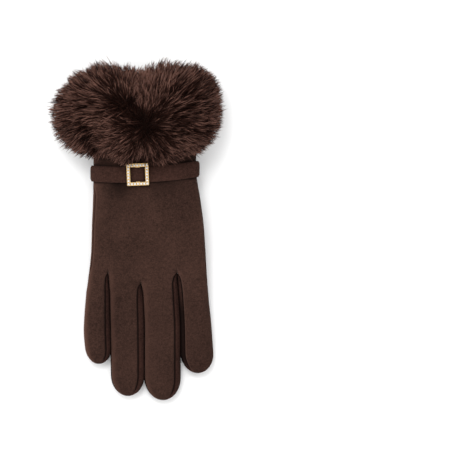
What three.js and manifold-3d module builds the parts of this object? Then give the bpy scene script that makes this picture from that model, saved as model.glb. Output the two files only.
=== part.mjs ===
// A woman's winter glove in faux suede, with a deep faux fur cuff and a strap that carries a stone-set
// slide buckle. It is the right-hand glove, laid palm down: fingers towards -Y, open end of the cuff
// towards +Y, back of the hand up, and the thumb folded flat beneath the palm. Lengths are in
// millimetres, and the floor it lies on is z = 0.
import * as THREE from "three";
import { mergeVertices } from "three/addons/utils/BufferGeometryUtils.js";
import Module from "manifold-3d";

const wasm = await Module();
wasm.setup();

// Hand and cuff
const PALM_WIDTH = 86; // across the knuckles
const HAND_LENGTH = 80.7; // from the strap's middle to the web between the two middle fingers
const CUFF_LENGTH = 54; // from the strap's middle to the open end of the cloth
const HAND_THICKNESS = 15; // of the laid palm and wrist
const CLOTH = 2; // suede with its fleece backing
const SEAM_GAP = 0.3; // between two pieces that are sewn together
const SIDE_SEAM_RISE = 4; // of the palm's side seams above the middle of its thickness

// Fingers
const MIDDLE_FINGER_LENGTH = 86.5; // from its web to its tip
const FINGER_THICKNESS = 13;
const FINGER_GAP = 1; // between neighbouring fingers
const TIP_ROUND = 1.3; // length of a rounded fingertip for each millimetre of half width
const FOURCHETTE_HEIGHT = 5; // of the side strips sewn between the fingers
const GUSSET_BEHIND_WEB = 1; // how far a side strip runs on behind its web, past the cloth's thickness
const GUSSET_BESIDE_WEB = 1.5; // how far it runs on to each side there

// Thumb, folded under the palm
const THUMB_LENGTH = 42; // from its fold to its tip
const THUMB_WIDTH = 25;
const THUMB_THICKNESS = 10;
const THUMB_ROOT = 26; // length of the oval hole in the palm that it is sewn into
const THUMB_TURN = 18; // degrees that it points inwards from the line of the fingers
const THUMB_FOLD_RADIUS = 0.8;
const THUMB_OVERLAP = 1; // how far its lying part runs on into its bend
const THUMB_HOLLOW_OVERLAP = 3; // how far its hollow does
const THUMB_TIP_HALF = 0.3; // least half size of the form at its tip

// Fur cuff
const FUR_WIDTH = 127;
const FUR_DEPTH = 77.5; // along the arm
const FUR_HEIGHT = 56;
const FUR_SHIFT = -6.6; // its middle from the strap's middle, towards the little finger
const FUR_EDGE = 7; // from the strap's middle line to the fur's lower edge
const FUR_BED = 9; // the squashed fur beneath the cuff
const LOCK_RISE = 7; // how far a lock's tip stands out of the pile
const LOCK_LEAN = 3;
const LOCK_VARY = 0.25; // share by which the locks' lengths differ
const PILE_SWELL = 0.05; // share by which the pile swells and sinks
const SWELL_WAVES = [5, 4, 6]; // waves of the swelling along each axis, in radians for each puff's half size
const SWELL_PHASES = [2, 1, 0];

// Strap
const STRAP_WIDTH = 11.9;
const STRAP_THICKNESS = 1.8;
const STRAP_EASE = 0.5; // between the strap and the wrist
const STRAP_EDGE = 0.6; // its rounded edges
const STRAP_BOW = 0.00165; // how fast its ends rise, in millimetres for each square millimetre across
const STRAP_SLOPE = 0.0438; // its rise towards the index finger's side
const STRAP_SINK = 0.45; // how far its middle lies towards the fingers from station 0

// Buckle and stones
const BUCKLE_SIZE = 16.1;
const BUCKLE_BAR = 2.45; // width of its four sides
const BUCKLE_THICKNESS = 2.2;
const BUCKLE_CORNER = 0.6;
const BUCKLE_X = -4.9; // its middle across the wrist
const BUCKLE_TURN = 2.3; // degrees
const BUCKLE_CLEARANCE = 0.3;
const SLIDE_BAR_WIDTH = 3;
const SLIDE_BAR_THICKNESS = 1;
const SLIDE_BAR_EASE = 0.2; // between the bar and the wrist, past the clearance
const STONES_PER_SIDE = 7;
const STONE_DIAMETER = 1.8;
const STONE_GAP = 0.15;
const STONE_CROWN = 0.55;
const STONE_PAVILION = 0.6;
const STONE_TABLE = 0.58; // share of the stone's diameter
const STONE_FACETS = 8;
const SEAT_SLOPE = 0.9; // depth of a stone's seat for each millimetre of its radius
const SEAT_LIP = 0.2; // how far the cut for a seat starts above the frame

// Fineness of the faceted surfaces
const HAND_SIDES = 16;
const FINGER_SIDES = 10;
const THUMB_SIDES = 10;
const STRAP_STEPS = 40;
const CORNER_STEPS = 2; // in each rounded corner of the buckle
const STRAP_SAMPLES = 720; // round the wrist, to find its even steps

// How full the ovals are: 2 is an ellipse, and more is squarer.
const HAND_FULLNESS = 2.7;
const FINGER_FULLNESS = 2.8;
const THUMB_FULLNESS = 3;

const CLEAR_OF_MODEL = 400;
const MOUTH_OVERRUN = 20; // how far the hollow is cut on past the open end of the cuff
const SETTLE = 0.4; // how far the rounded undersides are pressed flat by the floor

const SUEDE = new THREE.MeshStandardMaterial({ color: 0x412e29, roughness: 0.95, metalness: 0 });
const STRAP_SUEDE = new THREE.MeshStandardMaterial({ color: 0x3b2823, roughness: 0.95, metalness: 0 });
const FUR = new THREE.MeshStandardMaterial({ color: 0x39261f, roughness: 0.8, metalness: 0 });
const GOLD = new THREE.MeshStandardMaterial({ color: 0xd9b06a, roughness: 0.25, metalness: 1 });
const CRYSTAL = new THREE.MeshStandardMaterial({ color: 0xf2f2ee, roughness: 0.05, metalness: 0 });

// Stations run along the hand: -1 is the open end of the cuff, 0 the strap, 1 the web line and 2 the
// middle fingertip.
const GUSSET_SHOULDER_STATION = 1.12;
const SLOT_BEND_STATION = 1.3;
const PAST_TIPS_STATION = 2.2;

function stationY(station) {
  if (station < 0) return -station * CUFF_LENGTH;
  if (station < 1) return -station * HAND_LENGTH;
  return -HAND_LENGTH - (station - 1) * MIDDLE_FINGER_LENGTH;
}

function stationOf(y) {
  if (y > 0) return -y / CUFF_LENGTH;
  if (y > -HAND_LENGTH) return -y / HAND_LENGTH;
  return 1 - (y + HAND_LENGTH) / MIDDLE_FINGER_LENGTH;
}

// Sections of the hand: its left and right edges are shares of PALM_WIDTH, and its thickness of
// HAND_THICKNESS. Its solid has rings at PALM_RINGS.
const HAND_SECTIONS = [
  { station: -1.0, left: -0.445, right: 0.445, thick: 1.0 },
  { station: -0.4, left: -0.438, right: 0.442, thick: 1.0 },
  { station: 0.0, left: -0.438, right: 0.446, thick: 1.0 },
  { station: 0.24, left: -0.443, right: 0.473, thick: 1.0 },
  { station: 0.47, left: -0.452, right: 0.503, thick: 0.98 },
  { station: 0.69, left: -0.458, right: 0.521, thick: 0.97 },
  { station: 0.83, left: -0.469, right: 0.531, thick: 0.94 },
  { station: 0.93, left: -0.481, right: 0.538, thick: 0.88 },
  { station: 1.04, left: -0.46, right: 0.51, thick: 0.6 },
];
const PALM_RINGS = [-1, -0.3, 0, 0.2, 0.42, 0.64, 0.83, 0.95, 1.04];

// Height of the hand's middle surface, mixed from the heights that the fingers, palm and cuff rest at, and
// how much it rises towards the index finger's side for each millimetre across. The side seams lie
// SIDE_SEAM_RISE above it where seam is 1, and come down to the side strips' upper edges where it is 0. The
// panels are parted along these rows and LIE_BETWEEN.
const LIE = [
  { station: -1.4, finger: 0, palm: 0, cuff: 1, tilt: 0, seam: 1 },
  { station: -0.3, finger: 0, palm: 0, cuff: 1, tilt: 0, seam: 1 },
  { station: 0.0, finger: 0, palm: 0.5, cuff: 0.5, tilt: 0.02, seam: 1 },
  { station: 0.3, finger: 0, palm: 1, cuff: 0, tilt: 0.06, seam: 1 },
  { station: 0.5, finger: 0.02, palm: 0.98, cuff: 0, tilt: 0.06, seam: 0.6 },
  { station: 0.75, finger: 0.25, palm: 0.75, cuff: 0, tilt: 0.05, seam: 0 },
  { station: 1.0, finger: 0.63, palm: 0.37, cuff: 0, tilt: 0.03, seam: 0 },
  { station: 1.18, finger: 0.9, palm: 0.1, cuff: 0, tilt: 0.01, seam: 0 },
  { station: 1.4, finger: 1, palm: 0, cuff: 0, tilt: 0, seam: 0 },
  { station: 2.4, finger: 1, palm: 0, cuff: 0, tilt: 0, seam: 0 },
];
const LIE_BETWEEN = [0.15, 0.62, 0.88, 1.09];
const PALM_SAG = 0.4; // share of the palm's thickness between its middle and the thumb that it lies on
const FINGER_REST = FINGER_THICKNESS / 2 - SETTLE;
const PALM_REST = THUMB_THICKNESS + SEAM_GAP + PALM_SAG * HAND_THICKNESS;
const CUFF_REST = FUR_BED + HAND_THICKNESS / 2;

// Fingers: centre lines and half widths are shares of PALM_WIDTH at the root, the middle and the end of
// the finger, and reach is the tip's distance from the web line as a share of MIDDLE_FINGER_LENGTH. A
// finger's form starts inside the palm's, drawn in and narrowed.
const FINGERS = [
  {
    name: "little",
    root: { centre: -0.392, half: 0.096 },
    middle: { centre: -0.403, half: 0.108 },
    end: { centre: -0.391, half: 0.103 },
    reach: 0.69,
  },
  {
    name: "ring",
    root: { centre: -0.17, half: 0.14 },
    middle: { centre: -0.149, half: 0.144 },
    end: { centre: -0.143, half: 0.14 },
    reach: 0.964,
  },
  {
    name: "middle",
    root: { centre: 0.131, half: 0.15 },
    middle: { centre: 0.155, half: 0.153 },
    end: { centre: 0.158, half: 0.15 },
    reach: 1,
  },
  {
    name: "index",
    root: { centre: 0.41, half: 0.127 },
    middle: { centre: 0.44, half: 0.127 },
    end: { centre: 0.457, half: 0.136 },
    reach: 0.769,
  },
];
const FINGER_INNER_STATION = 0.74;
const FINGER_ROOT_STATION = 0.95;
const FINGER_MIDDLE_STATION = 1.42;
const MIDDLE_SHARE = 0.6; // of a short finger's reach, where its middle lies sooner
const ROOT_SHRINK = 0.72;
const ROOT_DRAW = 0.96;
const FINGER_RINGS = [0, 0.17, 0.36, 0.66]; // shares of the finger's straight stretch
const TIP_RINGS = [0, 0.45, 0.75, 0.93]; // shares of its rounded one

// Webs between the fingers: the station of each, and its place across as a share of PALM_WIDTH.
const WEBS = [
  { name: "little_ring", station: 0.902, across: -0.314 },
  { name: "ring_middle", station: 1.0, across: -0.031 },
  { name: "middle_index", station: 0.902, across: 0.28 },
];

// Places in the fur are shares of its width, depth and height, from the middle of its lower edge on the
// floor.
const FUR_CROWN = [0.04, 0.42, 1.25];

// Puffs of the fur, by their centres and half sizes. A puff's locks fan out of its own point, and its
// fineness is the number of times that the edges of a ball of twenty triangles are cut.
const PUFFS = [
  {
    name: "left",
    centre: [-0.208, 0.516, 0.464],
    half: [0.291, 0.464, 0.5],
    fan: [-0.074, 0.45, 0.39],
    fineness: 5,
  },
  {
    name: "right",
    centre: [0.233, 0.523, 0.464],
    half: [0.268, 0.477, 0.5],
    fan: [0.068, 0.374, 0.39],
    fineness: 5,
  },
  {
    name: "front",
    centre: [0.028, 0.387, 0.518],
    half: [0.354, 0.387, 0.482],
    fan: [0.052, 0.335, 0.43],
    fineness: 5,
  },
  {
    name: "back",
    centre: [0.013, 0.5, 0.38],
    half: [0.3, 0.43, 0.45],
    fan: [0.02, 0.43, 0.32],
    fineness: 3,
  },
  {
    name: "under",
    centre: [0.02, 0.477, 0.232],
    half: [0.41, 0.4, 0.25],
    fan: [0.02, 0.43, 0.25],
    fineness: 3,
  },
];

// Room for the arm beyond the cuff's open end: how far past it, and how much wider and taller it is there.
const MOUTH_FLARE = [
  { past: -1, wider: 0, taller: 0 },
  { past: 8, wider: 0.5, taller: 0.3 },
  { past: FUR_EDGE + FUR_DEPTH + 12 - CUFF_LENGTH, wider: 5, taller: 1 },
];

const degrees = THREE.MathUtils.degToRad;
const GOLDEN_ANGLE = Math.PI * (3 - Math.sqrt(5));

// Value of one column of a table at a station, along a smooth curve through its rows.
function smooth(rows, column, station) {
  const value = (i) => rows[i][column];
  const last = rows.length - 1;
  if (station <= rows[0].station) return value(0);
  if (station >= rows[last].station) return value(last);
  let i = 0;
  while (station > rows[i + 1].station) i++;
  const slope = (j) => {
    if (j <= 0 || j >= last) return 0;
    const before = (value(j) - value(j - 1)) / (rows[j].station - rows[j - 1].station);
    const after = (value(j + 1) - value(j)) / (rows[j + 1].station - rows[j].station);
    return before * after <= 0 ? 0 : (2 * before * after) / (before + after);
  };
  const span = rows[i + 1].station - rows[i].station;
  const t = (station - rows[i].station) / span;
  const t2 = t * t;
  const t3 = t2 * t;
  return (
    (2 * t3 - 3 * t2 + 1) * value(i) +
    (t3 - 2 * t2 + t) * span * slope(i) +
    (3 * t2 - 2 * t3) * value(i + 1) +
    (t3 - t2) * span * slope(i + 1)
  );
}

// Height of the hand's middle surface.
function midHeight(x, y) {
  const station = stationOf(y);
  const mix = (column) => smooth(LIE, column, station);
  return mix("finger") * FINGER_REST + mix("palm") * PALM_REST + mix("cuff") * CUFF_REST + mix("tilt") * x;
}

// Unit superellipse: a flattened oval with full, round sides.
function oval(angle, fullness) {
  const c = Math.cos(angle);
  const s = Math.sin(angle);
  const power = 2 / fullness;
  return [Math.sign(c) * Math.abs(c) ** power, Math.sign(s) * Math.abs(s) ** power];
}

function ringOf(sides, point) {
  return Array.from({ length: sides }, (_, i) => point((2 * Math.PI * (i + 0.5)) / sides));
}

// Solid through a row of closed rings of points, closed by a fan at each end.
function loft(rings) {
  const sides = rings[0].length;
  const points = rings.flat();
  const faces = [];
  for (let r = 0; r + 1 < rings.length; r++) {
    for (let i = 0; i < sides; i++) {
      const j = (i + 1) % sides;
      const [a, b, c, d] = [r * sides + i, r * sides + j, (r + 1) * sides + i, (r + 1) * sides + j];
      faces.push([a, b, d], [a, d, c]);
    }
  }
  const closeEnd = (first, reversed) => {
    const centre = new THREE.Vector3();
    for (let i = 0; i < sides; i++) centre.add(points[first + i]);
    points.push(centre.divideScalar(sides));
    const apex = points.length - 1;
    for (let i = 0; i < sides; i++) {
      const pair = [first + i, first + ((i + 1) % sides)];
      if (reversed) pair.reverse();
      faces.push([apex, ...pair]);
    }
  };
  closeEnd(0, true);
  closeEnd((rings.length - 1) * sides, false);
  return solidOfFaces(points, faces);
}

// Closed mesh from points and faces as a solid, turned so that its faces point out.
function solidOfFaces(points, faces) {
  let volume = 0;
  for (const [a, b, c] of faces) volume += points[a].dot(points[b].clone().cross(points[c]));
  if (volume < 0) for (const face of faces) face.reverse();
  const vertProperties = new Float32Array(points.flatMap((p) => [p.x, p.y, p.z]));
  const triVerts = new Uint32Array(faces.flat());
  return new wasm.Manifold(new wasm.Mesh({ numProp: 3, vertProperties, triVerts }));
}

function solidOfGeometry(geometry) {
  const bare = geometry.clone();
  bare.deleteAttribute("normal");
  bare.deleteAttribute("uv");
  const merged = mergeVertices(bare, 1e-4);
  const vertProperties = new Float32Array(merged.attributes.position.array);
  const triVerts = new Uint32Array(merged.index.array);
  return new wasm.Manifold(new wasm.Mesh({ numProp: 3, vertProperties, triVerts }));
}

function geometryOf(solid) {
  const mesh = solid.getMesh();
  const positions = new Float32Array(mesh.numVert * 3);
  for (let i = 0; i < mesh.numVert; i++) {
    positions.set(mesh.vertProperties.subarray(i * mesh.numProp, i * mesh.numProp + 3), i * 3);
  }
  const geometry = new THREE.BufferGeometry();
  geometry.setAttribute("position", new THREE.BufferAttribute(positions, 3));
  geometry.setIndex(new THREE.BufferAttribute(mesh.triVerts, 1));
  geometry.computeVertexNormals();
  return geometry;
}

const unionOf = (solids) => solids.reduce((whole, solid) => whole.add(solid));

// A piece without the loose crumbs that a cut can leave at its edges.
const mainBody = (solid) => solid.decompose().sort((a, b) => b.volume() - a.volume())[0];

function block(low, high) {
  const size = high.map((v, i) => v - low[i]);
  const geometry = new THREE.BoxGeometry(...size);
  geometry.translate(...low.map((v, i) => v + size[i] / 2));
  return solidOfGeometry(geometry);
}

// Upright prism over a plan outline of [x, y] points.
function prism(outline, low = -CLEAR_OF_MODEL, high = CLEAR_OF_MODEL) {
  return loft([low, high].map((z) => outline.map(([x, y]) => new THREE.Vector3(x, y, z))));
}

// The hand's surface at a place along it and an angle round it, moved out by grow.
function handPoint(y, angle, grow) {
  const station = stationOf(y);
  const left = smooth(HAND_SECTIONS, "left", station) * PALM_WIDTH - grow;
  const right = smooth(HAND_SECTIONS, "right", station) * PALM_WIDTH + grow;
  const halfThick = (smooth(HAND_SECTIONS, "thick", station) * HAND_THICKNESS) / 2 + grow;
  const [u, v] = oval(angle, HAND_FULLNESS);
  const x = (left + right) / 2 + (u * (right - left)) / 2;
  return new THREE.Vector3(x, y, midHeight(x, y) + v * halfThick);
}

// Palm, wrist and cuff as one closed form. Its cuff end is carried on by extra.
function palmForm(grow, extra) {
  const rings = PALM_RINGS.map((s) => ringOf(HAND_SIDES, (angle) => handPoint(stationY(s), angle, grow)));
  const mouth = CUFF_LENGTH + extra;
  rings.unshift(ringOf(HAND_SIDES, (angle) => handPoint(CUFF_LENGTH, angle, grow).setY(mouth)));
  return loft(rings);
}

// Rows of a finger's centre line, half width and fullness, for the table's smooth curve.
function fingerRows(finger) {
  const inside = { centre: finger.root.centre * ROOT_DRAW, half: finger.root.half * ROOT_SHRINK };
  return [
    { station: FINGER_INNER_STATION, ...inside, full: ROOT_SHRINK },
    { station: FINGER_ROOT_STATION, ...finger.root, full: 1 },
    { station: Math.min(FINGER_MIDDLE_STATION, 1 + MIDDLE_SHARE * finger.reach), ...finger.middle, full: 1 },
    { station: 1 + finger.reach, ...finger.end, full: 1 },
  ];
}

function fingerForm(finger, grow) {
  const rows = fingerRows(finger);
  const innerY = stationY(FINGER_INNER_STATION);
  const tipY = stationY(1 + finger.reach) - grow;
  const roundLength = finger.end.half * PALM_WIDTH * TIP_ROUND;
  const straight = FINGER_RINGS.map((t) => innerY + (tipY + roundLength - innerY) * t);
  const round = TIP_RINGS.map((t) => tipY + roundLength * (1 - t));
  const rings = [...straight, ...round].map((y) => {
    const station = stationOf(y);
    const centre = smooth(rows, "centre", station) * PALM_WIDTH;
    const t = Math.max(0, (tipY + roundLength - y) / roundLength);
    const shrink = Math.sqrt(Math.max(0, 1 - t * t));
    const halfWidth = (smooth(rows, "half", station) * PALM_WIDTH + grow) * shrink;
    const halfThick = ((FINGER_THICKNESS / 2) * smooth(rows, "full", station) + grow) * shrink ** 0.8;
    return ringOf(FINGER_SIDES, (angle) => {
      const [u, v] = oval(angle, FINGER_FULLNESS);
      const x = centre + u * halfWidth;
      return new THREE.Vector3(x, y, midHeight(x, y) + v * halfThick);
    });
  });
  return loft(rings);
}

// The edge line between two neighbouring fingers, from their web past their tips.
function boundary(index) {
  const [before, after] = [FINGERS[index], FINGERS[index + 1]];
  const facing = (key) => [before[key].centre + before[key].half, after[key].centre - after[key].half];
  const at = (key) => ((facing(key)[0] + facing(key)[1]) / 2) * PALM_WIDTH;
  const web = WEBS[index];
  return [
    [web.across * PALM_WIDTH, stationY(web.station)],
    [at("middle"), stationY(SLOT_BEND_STATION)],
    [at("end"), stationY(PAST_TIPS_STATION)],
  ];
}

// Slot between two fingers, widened by grow on each side.
function slot(index, grow) {
  const line = boundary(index);
  const half = FINGER_GAP / 2 + grow;
  const top = [line[0][0], line[0][1] + half];
  const right = line.map(([x, y]) => [x + half, y]);
  const left = line.map(([x, y]) => [x - half, y]).reverse();
  return prism([top, ...right, ...left]);
}

function handForm(grow, extra) {
  let form = unionOf([palmForm(grow, extra), ...FINGERS.map((finger) => fingerForm(finger, grow))]);
  WEBS.forEach((_, index) => {
    form = form.subtract(slot(index, -grow));
  });
  return form;
}

// Thumb: it leaves the palm downwards through an oval root, turns through a right angle about its fold, and
// lies flat.
const THUMB_ACROSS = 0.2; // place of its fold, as a share of PALM_WIDTH
const THUMB_STATION = 0.385;
const foldHeight = THUMB_THICKNESS + THUMB_FOLD_RADIUS;
const thumbFold = new THREE.Vector3(THUMB_ACROSS * PALM_WIDTH, stationY(THUMB_STATION), foldHeight);
const thumbAhead = new THREE.Vector3(-Math.sin(degrees(THUMB_TURN)), -Math.cos(degrees(THUMB_TURN)), 0);
const thumbSide = new THREE.Vector3(-thumbAhead.y, thumbAhead.x, 0);
const THUMB_TABLE = [
  { station: 0, wide: 1, thick: 1 },
  { station: 0.35, wide: 1, thick: 1 },
  { station: 0.62, wide: 0.92, thick: 0.97 },
  { station: 0.8, wide: 0.8, thick: 0.9 },
  { station: 0.91, wide: 0.62, thick: 0.75 },
  { station: 0.97, wide: 0.38, thick: 0.52 },
  { station: 1, wide: 0.1, thick: 0.15 },
];
const THUMB_ROUND_STATION = 0.9; // past it the thumb's rings move out with its growth
const BEND_RINGS = [0, 0.25, 0.5, 0.75, 1]; // shares of the bend's right angle

function thumbRing(centre, across, halfAcross, halfWide) {
  return ringOf(THUMB_SIDES, (angle) => {
    const [u, v] = oval(angle, THUMB_FULLNESS);
    return centre.clone().addScaledVector(thumbSide, u * halfWide).addScaledVector(across, v * halfAcross);
  });
}

// The thumb's lying part, from start millimetres before its fold line to its tip.
function thumbLying(grow, start = 0) {
  const down = new THREE.Vector3(0, 0, -1);
  const rings = THUMB_TABLE.map(({ station, wide, thick }, i) => {
    const along = i === 0 ? -start : station * THUMB_LENGTH + (station > THUMB_ROUND_STATION ? grow : 0);
    const halfThick = (THUMB_THICKNESS / 2) * thick + grow;
    const halfWide = (THUMB_WIDTH / 2) * wide + grow;
    const centre = thumbFold.clone().addScaledVector(thumbAhead, along);
    centre.z = THUMB_THICKNESS / 2 - SETTLE / 2;
    return thumbRing(centre, down, Math.max(halfThick, THUMB_TIP_HALF), Math.max(halfWide, THUMB_TIP_HALF));
  });
  return loft(rings);
}

// The thumb's bend and the root above it, up to the middle of the palm.
function thumbBend(grow) {
  const down = new THREE.Vector3(0, 0, -1);
  const back = thumbAhead.clone().negate();
  const bendRing = (turn, lift) => {
    const across = back.clone().multiplyScalar(Math.cos(turn)).addScaledVector(down, Math.sin(turn));
    const share = turn / (Math.PI / 2);
    const length = THUMB_ROOT + (THUMB_THICKNESS - THUMB_ROOT) * (share * (2 - share));
    const centre = thumbFold.clone().addScaledVector(across, THUMB_FOLD_RADIUS + length / 2);
    centre.z += lift - (SETTLE / 2) * share;
    return thumbRing(centre, across, length / 2 + grow, THUMB_WIDTH / 2 + grow);
  };
  const rise = midHeight(thumbFold.x, thumbFold.y) - thumbFold.z;
  const turns = BEND_RINGS.map((share) => bendRing((share * Math.PI) / 2, 0));
  return loft([bendRing(0, rise), ...turns]);
}

const aboveFloor = (height) =>
  block([-CLEAR_OF_MODEL, -CLEAR_OF_MODEL, height], [CLEAR_OF_MODEL, CLEAR_OF_MODEL, CLEAR_OF_MODEL]);

// Height of the side seams above the middle surface.
function seamRise(station) {
  const gussetTop = FOURCHETTE_HEIGHT / 2;
  return gussetTop + smooth(LIE, "seam", station) * (SIDE_SEAM_RISE - gussetTop);
}

// Everything above the hand's middle surface moved up by offset, and by rise at each station.
function aboveMiddle(offset, rise = () => 0) {
  const stations = [...LIE.map((row) => row.station), ...LIE_BETWEEN];
  stations.sort((a, b) => a - b);
  const rings = stations.map((station) => {
    const y = stationY(station);
    const corner = (x) => new THREE.Vector3(x, y, midHeight(x, y) + offset + rise(station));
    const high = (x) => new THREE.Vector3(x, y, CLEAR_OF_MODEL);
    return [corner(-PALM_WIDTH), corner(PALM_WIDTH), high(PALM_WIDTH), high(-PALM_WIDTH)];
  });
  return loft(rings);
}

const between = (low, high) => aboveMiddle(low).subtract(aboveMiddle(high));

// Plan area from one finger's centre line to the next one's, from just behind their web past their tips.
function gussetZone(index, grow) {
  const centre = (finger, station) => smooth(fingerRows(finger), "centre", station) * PALM_WIDTH;
  const [before, after] = [FINGERS[index], FINGERS[index + 1]];
  const top = stationY(WEBS[index].station) + FINGER_GAP / 2 + CLOTH + GUSSET_BEHIND_WEB + grow;
  const middle = WEBS[index].across * PALM_WIDTH;
  const side = CLOTH + GUSSET_BESIDE_WEB + grow;
  const littleTip = 1 + FINGERS[0].reach;
  const stations = [GUSSET_SHOULDER_STATION, FINGER_MIDDLE_STATION, littleTip, PAST_TIPS_STATION];
  const left = stations.map((s) => [centre(before, s) - grow, stationY(s)]).reverse();
  const right = stations.map((s) => [centre(after, s) + grow, stationY(s)]);
  return prism([...left, [middle - side, top], [middle + side, top], ...right]);
}

// Cloth shell of the hand, with its thumb hole, dented by the thumb that it lies on
const cavity = handForm(-CLOTH, MOUTH_OVERRUN)
  .subtract(thumbLying(SEAM_GAP + CLOTH))
  .intersect(aboveFloor(CLOTH))
  .add(thumbBend(-CLOTH));
const handOuter = handForm(0, 0).subtract(thumbLying(SEAM_GAP)).intersect(aboveFloor(0));
const shell = handOuter.subtract(cavity);

const seamHalf = SEAM_GAP / 2;
const gussetHalf = FOURCHETTE_HEIGHT / 2;
const gussetBand = between(-gussetHalf + seamHalf, gussetHalf - seamHalf);
const gussetRoom = between(-gussetHalf - seamHalf, gussetHalf + seamHalf);
const gussetRooms = unionOf(WEBS.map((_, index) => gussetZone(index, 0))).intersect(gussetRoom);

const backPanel = shell.intersect(aboveMiddle(seamHalf, seamRise));
const palmPanel = shell.subtract(aboveMiddle(-seamHalf, seamRise)).subtract(gussetRooms);
const gussets = shell.intersect(gussetBand);
const fourchettes = WEBS.map((_, index) => gussets.intersect(gussetZone(index, -SEAM_GAP)));
const thumb = thumbBend(0)
  .subtract(handForm(SEAM_GAP, 0))
  .add(thumbLying(0, THUMB_OVERLAP).subtract(handForm(SEAM_GAP, 0).subtract(thumbLying(SEAM_GAP))))
  .subtract(thumbBend(-CLOTH))
  .subtract(thumbLying(-CLOTH, THUMB_HOLLOW_OVERLAP))
  .intersect(aboveFloor(0));

// Strap: a flat loop that follows the wrist, lifted over the buckle's slide bar
const strapMiddle = (x) => STRAP_SLOPE * x + STRAP_BOW * x * x - STRAP_SINK;
const windowHalf = BUCKLE_SIZE / 2 - BUCKLE_BAR;
const slideBarBottom = BUCKLE_CLEARANCE + SLIDE_BAR_EASE;

function strapLift(x) {
  const reach = THREE.MathUtils.smoothstep(Math.abs(x - BUCKLE_X), SLIDE_BAR_WIDTH / 2, windowHalf);
  const lift = slideBarBottom + SLIDE_BAR_THICKNESS + BUCKLE_CLEARANCE - STRAP_EASE;
  return (1 - reach) * lift;
}

// How much each edge of the strap is drawn in to pass through the buckle's window.
function strapPinch(x) {
  const reach = THREE.MathUtils.smoothstep(Math.abs(x - BUCKLE_X), windowHalf, BUCKLE_SIZE / 2);
  return (1 - reach) * Math.max(0, STRAP_WIDTH / 2 + BUCKLE_CLEARANCE - windowHalf);
}

// Angles round the wrist at even steps of length.
function evenAngles(count) {
  const fine = Array.from({ length: STRAP_SAMPLES + 1 }, (_, i) => (2 * Math.PI * i) / STRAP_SAMPLES);
  const points = fine.map((angle) => handPoint(0, angle, STRAP_EASE));
  const lengths = [0];
  for (let i = 1; i < points.length; i++) lengths.push(lengths[i - 1] + points[i].distanceTo(points[i - 1]));
  const angles = [];
  let i = 0;
  for (let k = 0; k < count; k++) {
    const target = (lengths.at(-1) * k) / count;
    while (lengths[i + 1] < target) i++;
    const share = (target - lengths[i]) / (lengths[i + 1] - lengths[i]);
    angles.push(fine[i] + share * (fine[i + 1] - fine[i]));
  }
  return angles;
}

function strapForm(grow) {
  const [inner, outer] = [STRAP_EASE - grow, STRAP_EASE + STRAP_THICKNESS + grow];
  const halfWidth = STRAP_WIDTH / 2 + grow;
  const profile = [
    [-halfWidth, inner],
    [halfWidth, inner],
    [halfWidth, outer - STRAP_EDGE],
    [halfWidth - STRAP_EDGE, outer],
    [-halfWidth + STRAP_EDGE, outer],
    [-halfWidth, outer - STRAP_EDGE],
  ];
  const angles = evenAngles(STRAP_STEPS);
  const points = [];
  for (const angle of angles) {
    const x = handPoint(0, angle, STRAP_EASE).x;
    const onTop = Math.sin(angle) > 0;
    const lift = onTop ? strapLift(x) : 0;
    const pinch = onTop ? strapPinch(x) : 0;
    for (const [w, out] of profile) {
      const place = handPoint(0, angle, out);
      points.push(place.setY(strapMiddle(x) + w - Math.sign(w) * pinch).setZ(place.z + lift));
    }
  }
  const faces = [];
  const sides = profile.length;
  for (let k = 0; k < angles.length; k++) {
    for (let i = 0; i < sides; i++) {
      const j = (i + 1) % sides;
      const [p, q] = [k * sides, ((k + 1) % angles.length) * sides];
      faces.push([p + i, p + j, q + j], [p + i, q + j, q + i]);
    }
  }
  return solidOfFaces(points, faces);
}

// Buckle: a square frame over the strap, two posts and the slide bar beneath it, and a row of stones along
// each side
const wristTop = handPoint(0, Math.PI / 2, 0).z;
const buckleBottom = STRAP_EASE + STRAP_THICKNESS + BUCKLE_CLEARANCE;
const stonePitch = (BUCKLE_SIZE - BUCKLE_BAR) / (STONES_PER_SIDE - 1);
const stoneSeat = (BUCKLE_SIZE - BUCKLE_BAR) / 2;

function squareShape(side, corner) {
  const reach = side / 2 - corner;
  const quarter = Math.PI / 2;
  const shape = new THREE.Shape();
  const centres = [
    [reach, reach],
    [-reach, reach],
    [-reach, -reach],
    [reach, -reach],
  ];
  centres.forEach(([x, y], i) => shape.absarc(x, y, corner, i * quarter, (i + 1) * quarter, false));
  return shape;
}

function buckleForm() {
  const outline = squareShape(BUCKLE_SIZE, BUCKLE_CORNER);
  outline.holes.push(squareShape(BUCKLE_SIZE - 2 * BUCKLE_BAR, BUCKLE_CORNER / 2));
  const frame = new THREE.ExtrudeGeometry(outline, {
    depth: BUCKLE_THICKNESS,
    bevelEnabled: false,
    curveSegments: CORNER_STEPS,
  });
  frame.translate(0, 0, buckleBottom);
  const barHalf = SLIDE_BAR_WIDTH / 2;
  const end = BUCKLE_SIZE / 2;
  const bar = block(
    [-barHalf, -end, slideBarBottom],
    [barHalf, end, slideBarBottom + SLIDE_BAR_THICKNESS],
  );
  const posts = [-1, 1].map((side) => {
    const [near, far] = [side * windowHalf, side * end].sort((a, b) => a - b);
    return block([-barHalf, near, slideBarBottom], [barHalf, far, buckleBottom + BUCKLE_THICKNESS / 2]);
  });
  return { frame: solidOfGeometry(frame), holder: unionOf([bar, ...posts]) };
}

// Places of the stones round the frame, in order.
function stonePlaces() {
  const places = [];
  const side = Array.from({ length: STONES_PER_SIDE - 1 }, (_, i) => -stoneSeat + i * stonePitch);
  for (const t of side) places.push([t, stoneSeat]);
  for (const t of side) places.push([stoneSeat, -t]);
  for (const t of side) places.push([-t, -stoneSeat]);
  for (const t of side) places.push([-stoneSeat, t]);
  return places;
}

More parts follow.
